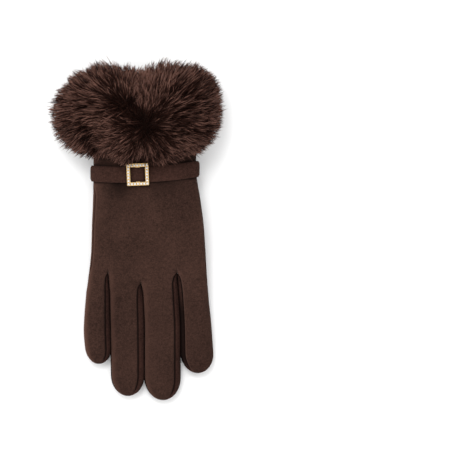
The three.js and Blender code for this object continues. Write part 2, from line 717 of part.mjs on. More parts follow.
// Round stone with a table and a ring of facets above and below its girdle, sunk to the girdle in a seat.
function stoneGeometry() {
  const radius = STONE_DIAMETER / 2;
  const profile = [
    new THREE.Vector2(0, -STONE_PAVILION),
    new THREE.Vector2(radius, 0),
    new THREE.Vector2(radius * STONE_TABLE, STONE_CROWN),
    new THREE.Vector2(0, STONE_CROWN),
  ];
  const geometry = new THREE.LatheGeometry(profile, STONE_FACETS);
  geometry.rotateX(Math.PI / 2);
  geometry.rotateZ(Math.PI / STONE_FACETS);
  return geometry;
}

function seatForm() {
  const radius = STONE_DIAMETER / 2 + STONE_GAP;
  const depth = radius * SEAT_SLOPE;
  const height = depth + SEAT_LIP;
  const cut = new THREE.ConeGeometry((radius * height) / depth, height, STONE_FACETS);
  cut.rotateX(-Math.PI / 2);
  cut.translate(0, 0, (SEAT_LIP - depth) / 2);
  cut.rotateZ(Math.PI / STONE_FACETS);
  return solidOfGeometry(cut);
}

// Fur: puffs round the cuff with pointed locks fused all over them, flat where they rest, open for the arm
const furOrigin = new THREE.Vector3(FUR_SHIFT, FUR_EDGE, 0);
const furSize = new THREE.Vector3(FUR_WIDTH, FUR_DEPTH, FUR_HEIGHT);
const furPlace = (shares) => new THREE.Vector3(...shares).multiply(furSize).add(furOrigin);

function puffShape(puff) {
  return {
    centre: furPlace(puff.centre),
    half: new THREE.Vector3(...puff.half).multiply(furSize),
    fan: furPlace(puff.fan),
  };
}

// Vertices of a ball of triangles, and which of them neighbour each other.
function ballNet(fineness) {
  const ball = new THREE.IcosahedronGeometry(1, fineness);
  ball.deleteAttribute("normal");
  ball.deleteAttribute("uv");
  const merged = mergeVertices(ball, 1e-4);
  const place = merged.attributes.position;
  const wayOf = (_, i) => new THREE.Vector3().fromBufferAttribute(place, i);
  const ways = Array.from({ length: place.count }, wayOf);
  const index = Array.from(merged.index.array);
  const faces = Array.from({ length: index.length / 3 }, (_, i) => index.slice(3 * i, 3 * i + 3));
  const near = ways.map(() => new Set());
  for (const [i, j, k] of faces) {
    near[i].add(j).add(k);
    near[j].add(i).add(k);
    near[k].add(i).add(j);
  }
  return { ways, faces, near };
}

// Puff of fur: a ball of pile on which every vertex with no lock beside it is drawn out into a lock's tip.
// The locks fan out of the puff's own point, and lean away from the crown.
function puffForm(puff) {
  const { centre, half: size, fan } = puffShape(puff);
  const { ways, faces, near } = ballNet(puff.fineness);
  const crown = furPlace(FUR_CROWN);
  const tips = new Set();
  const points = ways.map((way, i) => {
    const waves = way.toArray().map((share, k) => Math.sin(SWELL_WAVES[k] * share + SWELL_PHASES[k]));
    const swell = 1 + PILE_SWELL * waves[0] * waves[1] * waves[2];
    const pile = size.clone().subScalar(LOCK_RISE).multiply(way).multiplyScalar(swell).add(centre);
    if ([...near[i]].some((j) => tips.has(j))) return pile;
    tips.add(i);
    const lean = pile.clone().sub(crown);
    lean.addScaledVector(way, -lean.dot(way)).clampLength(0, LOCK_LEAN);
    const length = LOCK_RISE * (1 + LOCK_VARY * Math.sin(GOLDEN_ANGLE * i));
    const ahead = pile.clone().sub(fan).normalize();
    return pile.addScaledVector(ahead, length).add(lean);
  });
  return solidOfFaces(points, faces);
}

// Room that the fur leaves for the arm: the cuff, widening past its open end.
function armRoom() {
  const edge = handPoint(CUFF_LENGTH, 0, SEAM_GAP).x;
  const rings = MOUTH_FLARE.map(({ past, wider, taller }) =>
    ringOf(HAND_SIDES, (angle) => {
      const [u, v] = oval(angle, HAND_FULLNESS);
      const halfThick = HAND_THICKNESS / 2 + SEAM_GAP + taller;
      return new THREE.Vector3(u * (edge + wider), CUFF_LENGTH + past, CUFF_REST + v * halfThick);
    }),
  );
  return handForm(SEAM_GAP, 0).add(loft(rings));
}

const group = new THREE.Group();

function addPiece(name, geometry, material, parent = group) {
  const mesh = new THREE.Mesh(geometry, material);
  mesh.name = name;
  parent.add(mesh);
  return mesh;
}

addPiece("back_panel", geometryOf(mainBody(backPanel)), SUEDE);
addPiece("palm_panel", geometryOf(mainBody(palmPanel)), SUEDE);
WEBS.forEach(({ name }, index) => {
  addPiece(`fourchette_${name}`, geometryOf(mainBody(fourchettes[index])), SUEDE);
});
addPiece("thumb", geometryOf(mainBody(thumb)), SUEDE);

const buckle = new THREE.Group();
buckle.position.set(BUCKLE_X, strapMiddle(BUCKLE_X), wristTop);
buckle.rotation.z = degrees(BUCKLE_TURN);
const { frame: frameForm, holder } = buckleForm();
const seat = seatForm();
const stoneTop = buckleBottom + BUCKLE_THICKNESS;
let setFrame = frameForm.add(holder);
for (const [x, y] of stonePlaces()) setFrame = setFrame.subtract(seat.translate([x, y, stoneTop]));
addPiece("buckle_frame", geometryOf(setFrame), GOLD, buckle);
stonePlaces().forEach(([x, y], i) => {
  const stone = addPiece(`stone_${String(i + 1).padStart(2, "0")}`, stoneGeometry(), CRYSTAL, buckle);
  stone.position.set(x, y, stoneTop);
});
group.add(buckle);
group.updateMatrixWorld(true);

// Rooms that the strap and the fur leave round the slide bar and the buckle, set as the buckle is
const setAtBuckle = (solid) => {
  const turned = solid.rotate([0, 0, BUCKLE_TURN]);
  return turned.translate([BUCKLE_X, strapMiddle(BUCKLE_X), wristTop]);
};
const roomSide = BUCKLE_SIZE / 2 + BUCKLE_CLEARANCE;
const barSide = SLIDE_BAR_WIDTH / 2 + BUCKLE_CLEARANCE;
const barTop = slideBarBottom + SLIDE_BAR_THICKNESS + BUCKLE_CLEARANCE;
const roomTop = stoneTop + STONE_CROWN + BUCKLE_CLEARANCE;
const holderRoom = setAtBuckle(block([-barSide, -roomSide, -STRAP_THICKNESS], [barSide, roomSide, barTop]));
const buckleRoom = setAtBuckle(block([-roomSide, -roomSide, 0], [roomSide, roomSide, roomTop]));

const strap = strapForm(0).subtract(handForm(SEAM_GAP, 0)).subtract(holderRoom);
addPiece("strap", geometryOf(mainBody(strap)), STRAP_SUEDE);

const fur = unionOf(PUFFS.map(puffForm))
  .subtract(armRoom())
  .subtract(strapForm(SEAM_GAP))
  .subtract(buckleRoom)
  .intersect(aboveFloor(0));
addPiece("fur_cuff", geometryOf(mainBody(fur)), FUR);

// The part's origin is the middle of its box, on the floor.
const box = new THREE.Box3().setFromObject(group);
group.position.set(-(box.min.x + box.max.x) / 2, -(box.min.y + box.max.y) / 2, -box.min.z);

export default group;
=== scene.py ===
"""A woman's right-hand winter glove in dark brown faux suede, laid palm down, with a deep faux fur cuff and
a strap through a square slide buckle set with stones.

Shapes are worked out in millimetres from the middle of the strap: +X towards the index finger's side, +Y
towards the open end of the cuff, +Z up from the floor. The buckle's place in the frame carries them over
into its metres.
"""

import logging
import math
from dataclasses import dataclass, field
from enum import Enum
from typing import ClassVar

import bmesh
import bpy
import numpy as np
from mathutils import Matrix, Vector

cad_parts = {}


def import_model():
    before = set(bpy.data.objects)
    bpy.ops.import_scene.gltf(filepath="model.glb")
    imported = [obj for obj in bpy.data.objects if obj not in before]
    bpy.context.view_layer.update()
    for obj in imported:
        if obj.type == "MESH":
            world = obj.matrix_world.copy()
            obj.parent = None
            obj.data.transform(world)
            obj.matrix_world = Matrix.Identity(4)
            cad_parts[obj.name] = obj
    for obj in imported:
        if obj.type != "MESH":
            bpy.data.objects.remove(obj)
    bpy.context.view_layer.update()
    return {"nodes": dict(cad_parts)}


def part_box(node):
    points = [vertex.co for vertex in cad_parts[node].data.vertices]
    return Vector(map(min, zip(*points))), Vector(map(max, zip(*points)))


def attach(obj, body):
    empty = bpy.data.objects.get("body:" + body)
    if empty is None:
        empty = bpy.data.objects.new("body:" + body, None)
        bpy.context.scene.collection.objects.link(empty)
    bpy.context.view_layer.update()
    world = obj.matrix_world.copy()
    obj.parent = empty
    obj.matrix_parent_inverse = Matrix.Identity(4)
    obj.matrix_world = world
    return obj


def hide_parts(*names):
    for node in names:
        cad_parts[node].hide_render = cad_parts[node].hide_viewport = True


MM = 0.001
FLOOR_GAP = 0.05  # least height of the cloth over the floor
GOLDEN_ANGLE = math.pi * (3 - math.sqrt(5))

Array = np.ndarray
Piece = bpy.types.Object
Tree = bpy.types.NodeTree
Socket = bpy.types.NodeSocket

log = logging.getLogger("glove")


# Shared shape helpers


@dataclass(frozen=True)
class Curve:
    """A smooth curve through a short table: values at stations along the hand, or at places across it."""

    stations: tuple[float, ...]
    values: tuple[float, ...]

    def __call__(self, at: Array) -> Array:
        """Works out the curve.

        Cubic Hermite pieces, level at both ends, with the harmonic mean of the neighbouring slopes at each
        row, so that the curve never overshoots its table.

        Args:
            at: Stations to read the curve at.

        Returns:
            The curve's values there.
        """
        s, v = np.array(self.stations), np.array(self.values)
        rise = np.diff(v) / np.diff(s)
        slope = np.zeros_like(v)
        before, after = rise[:-1], rise[1:]
        same = before * after > 0
        slope[1:-1] = np.where(same, 2 * before * after / np.where(same, before + after, 1), 0)
        at = np.clip(at, s[0], s[-1])
        i = np.clip(np.searchsorted(s, at, side="right") - 1, 0, len(s) - 2)
        span = s[i + 1] - s[i]
        t = (at - s[i]) / span
        t2, t3 = t * t, t * t * t
        return (
            (2 * t3 - 3 * t2 + 1) * v[i]
            + (t3 - 2 * t2 + t) * span * slope[i]
            + (3 * t2 - 2 * t3) * v[i + 1]
            + (t3 - t2) * span * slope[i + 1]
        )


def ease(x: Array) -> Array:
    """Smooth step from 0 to 1 as x goes from 0 to 1."""
    x = np.clip(x, 0, 1)
    return x * x * (3 - 2 * x)


def signed_power(x: Array, power: float) -> Array:
    """x raised to a power with its sign kept, the term of a superellipse."""
    return np.sign(x) * np.abs(x) ** power


def crowd(count: int) -> Array:
    """Values from 0 to 1 that crowd towards both ends, half a cosine wave apart."""
    return (1 - np.cos(np.linspace(0, math.pi, count))) / 2


def unit(vectors: Array) -> Array:
    """Vectors brought to length 1."""
    return vectors / np.maximum(np.linalg.norm(vectors, axis=-1, keepdims=True), 1e-9)


def grid_faces(rows: int, columns: int, around_rows: bool = False, around_columns: bool = False) -> Array:
    """Faces of a grid of points kept row by row.

    Args:
        rows: Number of rows.
        columns: Number of points in a row.
        around_rows: The last row joins the first.
        around_columns: The last column joins the first.

    Returns:
        Four point numbers for each face.
    """
    r = np.arange(rows if around_rows else rows - 1)
    c = np.arange(columns if around_columns else columns - 1)
    r, c = np.meshgrid(r, c, indexing="ij")
    r2, c2 = (r + 1) % rows, (c + 1) % columns
    corners = [r * columns + c, r * columns + c2, r2 * columns + c2, r2 * columns + c]
    return np.stack(corners, -1).reshape(-1, 4)


def ripple(x: Array, y: Array, seed: int, length: float) -> Array:
    """Soft random swell between about -1 and 1.

    The sum of six sine waves of mixed directions, with wavelengths near the given length.

    Args:
        x: Places across.
        y: Places along.
        seed: Number of the pattern.
        length: Typical wavelength, in the units of x and y.

    Returns:
        The swell at each place.
    """
    rng = np.random.default_rng(seed)
    turn = rng.uniform(0, 2 * math.pi, 6)
    size = rng.uniform(0.6, 1.7, 6) * 2 * math.pi / length
    phase = rng.uniform(0, 2 * math.pi, 6)
    waves = np.sin((x[..., None] * np.cos(turn) + y[..., None] * np.sin(turn)) * size + phase)
    return waves.sum(-1) / 3


# Sizes of the hand


class Face(Enum):
    """Which side of the hand a panel covers."""

    BACK = "back"
    PALM = "palm"


@dataclass(frozen=True)
class Finger:
    """One finger: its edges by station, its reach, and where its seams lie.

    Seam angles are degrees above the middle of the finger's side, at the panel's edge on that side.
    """

    name: str
    left: Curve
    right: Curve
    reach: float
    end_half: float
    left_seam: float
    right_seam: float


@dataclass(frozen=True)
class Web:
    """A web between two fingers: its station, and its line across the palm up to the cuff."""

    name: str
    station: float
    line: Curve


@dataclass(frozen=True)
class HandShape:
    """The hand's driving sizes and tables, as the solids have them."""

    palm_width: float = 86.0
    hand_length: float = 80.7
    cuff_length: float = 54.0
    thickness: float = 15.0
    middle_finger_length: float = 86.5
    finger_thickness: float = 13.0
    tip_round: float = 1.3
    cloth: float = 1.6
    seam_gap: float = 0.3
    settle: float = 0.4
    palm_sag: float = 0.4
    fullness: float = 2.7
    thumb_thickness: float = 10.0
    fur_bed: float = 9.0
    left: Curve = Curve(
        (-1, -0.4, 0, 0.24, 0.47, 0.69, 0.83, 0.93, 1.1),
        (-0.445, -0.438, -0.438, -0.443, -0.452, -0.458, -0.469, -0.481, -0.498),
    )
    right: Curve = Curve(
        (-1, -0.4, 0, 0.24, 0.47, 0.69, 0.83, 0.93, 1.1),
        (0.445, 0.442, 0.446, 0.479, 0.507, 0.521, 0.528, 0.534, 0.547),
    )
    thick: Curve = Curve((-1, 0.24, 0.47, 0.69, 0.83, 0.93, 1.1), (1, 1, 0.98, 0.97, 0.94, 0.88, 0.86))
    lie_finger: Curve = Curve((0.3, 0.5, 0.75, 1, 1.18, 1.4), (0, 0.02, 0.25, 0.63, 0.9, 1))
    lie_cuff: Curve = Curve((-0.3, 0, 0.3), (1, 0.5, 0))
    tilt: Curve = Curve((-0.3, 0, 0.3, 0.5, 0.75, 1, 1.18, 1.4), (0, 0.02, 0.06, 0.06, 0.05, 0.03, 0.01, 0))
    webs: tuple[Web, ...] = (
        Web("little_ring", 0.902, Curve((-1, 0, 0.902), (-0.22, -0.23, -0.314))),
        Web("ring_middle", 1.0, Curve((-1, 0, 1), (0, 0, -0.031))),
        Web("middle_index", 0.902, Curve((-1, 0, 0.902), (0.22, 0.23, 0.28))),
    )
    fingers: tuple[Finger, ...] = (
        Finger(
            "little",
            Curve((0.93, 1.1, 1.41, 1.69), (-0.481, -0.503, -0.523, -0.501)),
            Curve((0.902, 1.1, 1.41, 1.69), (-0.314, -0.301, -0.295, -0.288)),
            0.69, 0.103, 0, 60,
        ),
        Finger(
            "ring",
            Curve((0.902, 1.1, 1.42, 1.964), (-0.314, -0.301, -0.295, -0.285)),
            Curve((1, 1.1, 1.42, 1.964), (-0.031, -0.015, -0.003, -0.003)),
            0.964, 0.14, 14, 60,
        ),
        Finger(
            "middle",
            Curve((1, 1.1, 1.42, 1.75, 2), (-0.031, -0.015, -0.003, -0.003, 0.006)),
            Curve((0.902, 1.1, 1.42, 2), (0.28, 0.293, 0.308, 0.308)),
            1.0, 0.15, 14, 55,
        ),
        Finger(
            "index",
            Curve((0.902, 1.1, 1.42, 1.6, 1.769), (0.28, 0.293, 0.308, 0.309, 0.316)),
            Curve((0.93, 1.1, 1.42, 1.769), (0.534, 0.547, 0.577, 0.596)),
            0.769, 0.136, 50, 0,
        ),
    )

    def station_of(self, y: Array) -> Array:
        """Stations along the hand: -1 the cuff's end, 0 the strap, 1 the web line, 2 the middle tip."""
        return np.where(
            y > 0,
            -y / self.cuff_length,
            np.where(y > -self.hand_length, -y / self.hand_length,
                     1 - (y + self.hand_length) / self.middle_finger_length),
        )

    def y_of(self, station: float) -> float:
        """Place along the hand of a station."""
        if station < 0:
            return -station * self.cuff_length
        if station < 1:
            return -station * self.hand_length
        return -self.hand_length - (station - 1) * self.middle_finger_length

    def middle(self, x: Array, y: Array) -> Array:
        """Height of the hand's middle surface: finger, palm and cuff mixed by station, plus a tilt."""
        s = self.station_of(y)
        finger, cuff = self.lie_finger(s), self.lie_cuff(s)
        finger_rest = self.finger_thickness / 2 - self.settle
        palm_rest = self.thumb_thickness + self.seam_gap + self.palm_sag * self.thickness
        cuff_rest = self.fur_bed + self.thickness / 2
        palm = 1 - finger - cuff
        return finger * finger_rest + cuff * cuff_rest + palm * palm_rest + self.tilt(s) * x

    def palm_rise(self, x: Array, y: Array) -> Array:
        """Half thickness of the palm at a place: a superellipse across from edge to edge."""
        s = self.station_of(y)
        low, high = self.left(s) * self.palm_width, self.right(s) * self.palm_width
        across = np.clip(np.abs(2 * x - low - high) / (high - low), 0, 1)
        return self.thick(s) * self.thickness / 2 * (1 - across**self.fullness) ** (1 / self.fullness)

    def wrist(self, angle: Array, out: float, y: float = 0.0) -> Array:
        """Points of the wrist's or cuff's outline, moved outwards.

        A superellipse between the hand's edges, about the middle surface.

        Args:
            angle: Angles round it, from the index finger's side over the back.
            out: How far outwards.
            y: The place along the hand.

        Returns:
            The points, in the order of the angles.
        """
        s = self.station_of(np.array(y))
        low, high = self.left(s) * self.palm_width - out, self.right(s) * self.palm_width + out
        power = 2 / self.fullness
        u, v = signed_power(np.cos(angle), power), signed_power(np.sin(angle), power)
        x = (low + high) / 2 + u * (high - low) / 2
        z = self.middle(x, np.full_like(x, y)) + v * (self.thick(s) * self.thickness / 2 + out)
        return np.stack([x, np.full_like(x, y), z], -1)


# Making meshes


@dataclass
class Workshop:
    """Puts finished shapes into Blender at their place in the frame."""

    shift: Array

    def mesh(self, name: str, points: Array, faces: Array, smooth: bool = True) -> Piece:
        """Makes an object of points in millimetres.

        Args:
            name: The piece's name.
            points: Points, in the sizes' own millimetres.
            faces: Point numbers of faces with as many corners each.
            smooth: Shade it smoothly.

        Returns:
            The new object, at the origin, with its place in its mesh.
        """
        points = (np.asarray(points, float).reshape(-1, 3) + self.shift) * MM
        faces = np.asarray(faces)
        mesh = bpy.data.meshes.new(name)
        mesh.vertices.add(len(points))
        mesh.vertices.foreach_set("co", points.astype(np.float32).ravel())
        mesh.loops.add(faces.size)
        mesh.loops.foreach_set("vertex_index", faces.astype(np.int32).ravel())
        mesh.polygons.add(len(faces))
        starts = np.arange(0, faces.size, faces.shape[1], dtype=np.int32)
        mesh.polygons.foreach_set("loop_start", starts)
        mesh.polygons.foreach_set("use_smooth", np.full(len(faces), smooth))
        mesh.update(calc_edges=True)
        mesh.validate()
        piece = bpy.data.objects.new(name, mesh)
        bpy.context.scene.collection.objects.link(piece)
        return piece

    def paint(self, piece: Piece, name: str, values: Array) -> None:
        """Keeps a value for each point of a piece as an attribute."""
        attribute = piece.data.attributes.new(name, "FLOAT", "POINT")
        attribute.data.foreach_set("value", np.asarray(values, np.float32).ravel())

    def merge(self, piece: Piece, distance: float = 2e-6) -> None:
        """Merges points that lie together."""
        bm = bmesh.new()
        bm.from_mesh(piece.data)
        bmesh.ops.remove_doubles(bm, verts=bm.verts, dist=distance)
        bmesh.ops.dissolve_degenerate(bm, edges=bm.edges, dist=distance)
        bm.to_mesh(piece.data)
        bm.free()

    def finish(self, piece: Piece, finish: "Finish", replaced: tuple[str, ...] = ()) -> None:
        """Dresses a piece, hangs it on the frame and hides the nodes it stands for."""
        piece.data.materials.clear()
        piece.data.materials.append(finish.material())
        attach(piece, "root")
        if replaced:
            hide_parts(*replaced)
        log.info("%s: %d faces", piece.name, len(piece.data.polygons))


# Finishes


@dataclass(frozen=True)
class Finish:
    """A finish of the glove: its slot in the record and its colour, in linear light."""

    name: str
    slot: str
    colour: tuple[float, float, float]

    def material(self) -> bpy.types.Material:
        """The finish's material, made once."""
        made = bpy.data.materials.get(self.name)
        if made is None:
            made = bpy.data.materials.new(self.name)
            made.use_nodes = True
            self.dress(made.node_tree)
        return made

    def dress(self, tree: Tree) -> None:
        """Sets the shader's colour."""
        self.shader(tree, {"Base Color": (*self.colour, 1)})

    def shader(self, tree: Tree, values: dict[str, float | tuple[float, ...]]) -> bpy.types.Node:
        """Sets numbers and colours on the shader's own sockets.

        Args:
            tree: The material's nodes.
            values: What to set, by the sockets' names.

        Returns:
            The shader.
        """
        shader = tree.nodes["Principled BSDF"]
        for socket, value in values.items():
            shader.inputs[socket].default_value = value
        return shader

    def attribute(self, tree: Tree, name: str) -> Socket:
        """Reads one of the piece's own attributes."""
        read = tree.nodes.new("ShaderNodeAttribute")
        read.attribute_name = name
        return read.outputs["Fac"]

    def noise(self, tree: Tree, scale: float, detail: float) -> Socket:
        """Noise on the piece's own metres.

        Args:
            tree: The material's nodes.
            scale: Waves in a metre.
            detail: Layers of finer noise.

        Returns:
            The noise's value.
        """
        place = tree.nodes.new("ShaderNodeTexCoord")
        noise = tree.nodes.new("ShaderNodeTexNoise")
        noise.inputs["Scale"].default_value = scale
        noise.inputs["Detail"].default_value = detail
        tree.links.new(place.outputs["Object"], noise.inputs["Vector"])
        return noise.outputs["Fac"]

    def math(
        self,
        tree: Tree,
        operation: str,
        value: Socket,
        by: float,
        plus: Socket | None = None,
    ) -> Socket:
        """A value worked on by a number, and for multiply-add also by a second value.

        Args:
            tree: The material's nodes.
            operation: The sum to do.
            value: The value.
            by: The number.
            plus: The value to add.

        Returns:
            The result.
        """
        node = tree.nodes.new("ShaderNodeMath")
        node.operation = operation
        tree.links.new(value, node.inputs[0])
        node.inputs[1].default_value = by
        if plus is not None:
            tree.links.new(plus, node.inputs[2])
        return node.outputs[0]

    def ramp(
        self, tree: Tree, value: Socket, stops: list[tuple[float, tuple[float, ...]]]
    ) -> Socket:
        """Colour by a value.

        Args:
            tree: The material's nodes.
            value: The value to read.
            stops: Places from 0 to 1 with their colours.

        Returns:
            The colour.
        """
        ramp = tree.nodes.new("ShaderNodeValToRGB")
        stop = ramp.color_ramp.elements
        while len(stop) < len(stops):
            stop.new(0.5)
        for element, (at, colour) in zip(stop, stops):
            element.position = at
            element.color = (*colour, 1)
        tree.links.new(value, ramp.inputs["Fac"])
        return ramp.outputs["Color"]

    def tones(
        self,
        tree: Tree,
        value: Socket,
        dark: tuple[float, float],
        light: tuple[float, float],
    ) -> Socket:
        """The finish's own colour, darker and lighter by a value.

        Args:
            tree: The material's nodes.
            value: The value to read.
            dark: Where it is darkest, and the share of the colour there.
            light: The same where it is lightest.

        Returns:
            The colour.
        """
        colour = np.array(self.colour)
        return self.ramp(tree, value, [(at, tuple(colour * share)) for at, share in (dark, light)])

    def bump(self, tree: Tree, height: Socket, strength: float, depth: float) -> None:
        """Roughens the surface by a height, over a depth in metres."""
        bump = tree.nodes.new("ShaderNodeBump")
        bump.inputs["Strength"].default_value = strength
        bump.inputs["Distance"].default_value = depth
        tree.links.new(height, bump.inputs["Height"])
        tree.links.new(bump.outputs["Normal"], tree.nodes["Principled BSDF"].inputs["Normal"])


@dataclass(frozen=True)
class Suede(Finish):
    """Faux suede: a short, dull pile with fine mottling, slow brushed patches, and painted shade and light."""

    mottle: float = 0.5
    # painted shade and painted light: how far the colour goes to a darker and a lighter copy of itself
    seam_shade: float = 0.9
    seam_dark: float = 0.12
    sheen: float = 0.1
    painted_light_tone: float = 2.5

    def dress(self, tree: Tree) -> None:
        """Builds the suede's colour, sheen and bump.

        Fine and slow noise on the colour, painted light on the sides that face the light, painted shade in the
        sewn grooves and under the strap, the buckle and the fur, with a faint sheen and bump.
        """
        values = {
            "Roughness": 0.95,
            "Specular IOR Level": 0.06,
            "Sheen Weight": self.sheen,
            "Sheen Roughness": 0.35,
            "Sheen Tint": (1.0, 0.7, 0.6, 1),
        }
        shader = self.shader(tree, values)
        nap = self.math(tree, "MULTIPLY", self.noise(tree, 1250, 2), 0.5)
        nap = self.math(tree, "MULTIPLY_ADD", self.noise(tree, 480, 1), 0.22, nap)
        nap = self.math(tree, "MULTIPLY_ADD", self.noise(tree, 34, 2), 0.28, nap)
        shade = self.tones(tree, nap, (0.36, 1 - self.mottle), (0.64, 1 + self.mottle))
        # painted light, then painted shade, drawn into the colour by the piece's own attributes
        shade = self.towards(tree, shade, "nap", 1.0, self.painted_light_tone)
        shade = self.towards(tree, shade, "seam", self.seam_shade, self.seam_dark)
        tree.links.new(shade, shader.inputs["Base Color"])
        self.bump(tree, self.noise(tree, 1300, 3), 0.3, 0.0003)

    def towards(
        self, tree: Tree, shade: Socket, attribute: str, most: float, times: float
    ) -> Socket:
        """Paints shade and light: draws a colour to a darker or lighter one by one of the piece's own
        attributes.

        Args:
            tree: The material's nodes.
            shade: The colour so far.
            attribute: The attribute to read.
            most: The share of the other colour where the attribute is 1.
            times: The other colour, as a multiple of the finish's own.

        Returns:
            The colour.
        """
        mix = tree.nodes.new("ShaderNodeMix")
        mix.data_type = "RGBA"
        share = self.math(tree, "MULTIPLY", self.attribute(tree, attribute), most)
        tree.links.new(share, mix.inputs["Factor"])
        tree.links.new(shade, mix.inputs["A"])
        mix.inputs["B"].default_value = (*(np.array(self.colour) * times), 1)
        return mix.outputs["Result"]


@dataclass(frozen=True)
class Pelt(Finish):
    """Long fur: dark at the root, lighter at the tip, by the strands' own attribute, partly painted shade and
    light.
    """

    tip: tuple[float, float, float] = (0.192, 0.097, 0.074)
    root: tuple[float, float, float] = (0.0016, 0.0007, 0.0005)

    def dress(self, tree: Tree) -> None:
        """Reads the strands' shade and gives them a soft gloss."""
        values = {"Roughness": 0.5, "Specular IOR Level": 0.06, "Specular Tint": (1.0, 0.5, 0.4, 1)}
        shader = self.shader(tree, values)
        stops = [(0.0, self.root), (0.5, self.colour), (1.0, self.tip)]
        colour = self.ramp(tree, self.attribute(tree, "shade"), stops)
        tree.links.new(colour, shader.inputs["Base Color"])


@dataclass(frozen=True)
class Undercoat(Finish):
    """The dense wool beneath the fur, near black as painted shade for the depths of the pile."""

    def dress(self, tree: Tree) -> None:
        """A near-black colour for the pile's painted shade, broken up by noise, with a rough surface."""
        shader = self.shader(tree, {"Roughness": 1.0, "Specular IOR Level": 0.1})
        wool = self.noise(tree, 700, 4)
        tree.links.new(self.tones(tree, wool, (0.3, 0.5), (0.7, 1.6)), shader.inputs["Base Color"])
        self.bump(tree, wool, 0.8, 0.001)


@dataclass(frozen=True)
class Gold(Finish):
    """Polished gold-coloured metal with the faintest ripple of a casting."""

    polish: tuple[float, float] = (0.16, 0.28)

    def dress(self, tree: Tree) -> None:
        """A metal with small differences in polish."""
        shader = self.shader(tree, {"Metallic": 1.0})
        cast = self.noise(tree, 900, 2)
        tree.links.new(self.tones(tree, cast, (0.3, 0.9), (0.7, 1.08)), shader.inputs["Base Color"])
        smooth, dull = self.polish
        polish = self.ramp(tree, cast, [(0.3, (smooth,) * 3), (0.7, (dull,) * 3)])
        tree.links.new(polish, shader.inputs["Roughness"])


@dataclass(frozen=True)
class Crystal(Finish):
    """Cut stone over a bright foil, which throws the light back out of its facets."""

    def dress(self, tree: Tree) -> None:
        """A bright, clear-coated stone with a little difference from facet to facet."""
        values = {"Metallic": 0.1, "Roughness": 0.1, "IOR": 1.6, "Coat Weight": 0.6}
        shader = self.shader(tree, values)
        foil = self.noise(tree, 1600, 1)
        tree.links.new(self.tones(tree, foil, (0.4, 0.72), (0.6, 1.0)), shader.inputs["Base Color"])


SUEDE = Suede("glove_faux_suede", "suede", (0.0333, 0.0163, 0.0121))
# a darker copy of the suede: painted shade on the side strips, which stand steep between the fingers
SHADED_GUSSET_SUEDE = Suede("glove_side_strip_suede_in_shade", "suede", (0.0250, 0.0110, 0.0083), sheen=0.0)
STRAP_SUEDE = Suede("glove_strap_suede", "strap_suede", (0.0325, 0.0150, 0.0112))
PELT = Pelt("glove_fur_strands", "fur", (0.024, 0.0098, 0.0072))
# near black: painted shade of the pile's depths, seen in the gaps between the locks
UNDERCOAT = Undercoat("glove_fur_wool_painted_shade", "fur", (0.0030, 0.0012, 0.0009))
GOLD = Gold("glove_buckle_gold", "gold", (0.66, 0.45, 0.21))
CRYSTAL = Crystal("glove_buckle_stones", "crystal", (0.88, 0.86, 0.83))


# The hand's cloth


@dataclass
class Sheet:
    """Grids of cloth gathered for one piece, with each point's painted shade, painted light and thickness."""

    points: list[Array] = field(default_factory=list)
    faces: list[Array] = field(default_factory=list)
    seams: list[Array] = field(default_factory=list)
    painted_lights: list[Array] = field(default_factory=list)
    weights: list[Array] = field(default_factory=list)

    def add(self, grid: Array, seam: Array, nap: Array, shrink: Array) -> None:
        """Adds one finger's grid.

        Args:
            grid: Its points, by row and column.
            seam: How much painted shade each point gets.
            nap: How much painted light each point gets.
            shrink: Share of the finger's full width at each row, which thins the cloth into the tip.
        """
        count = sum(len(points) for points in self.points)
        self.faces.append(grid_faces(*grid.shape[:2]) + count)
        self.points.append(grid.reshape(-1, 3))
        self.seams.append(seam.ravel())
        self.painted_lights.append(nap.ravel())
        self.weights.append(np.repeat(np.clip(shrink * 1.3 - 0.25, 0.02, 1), grid.shape[1]))


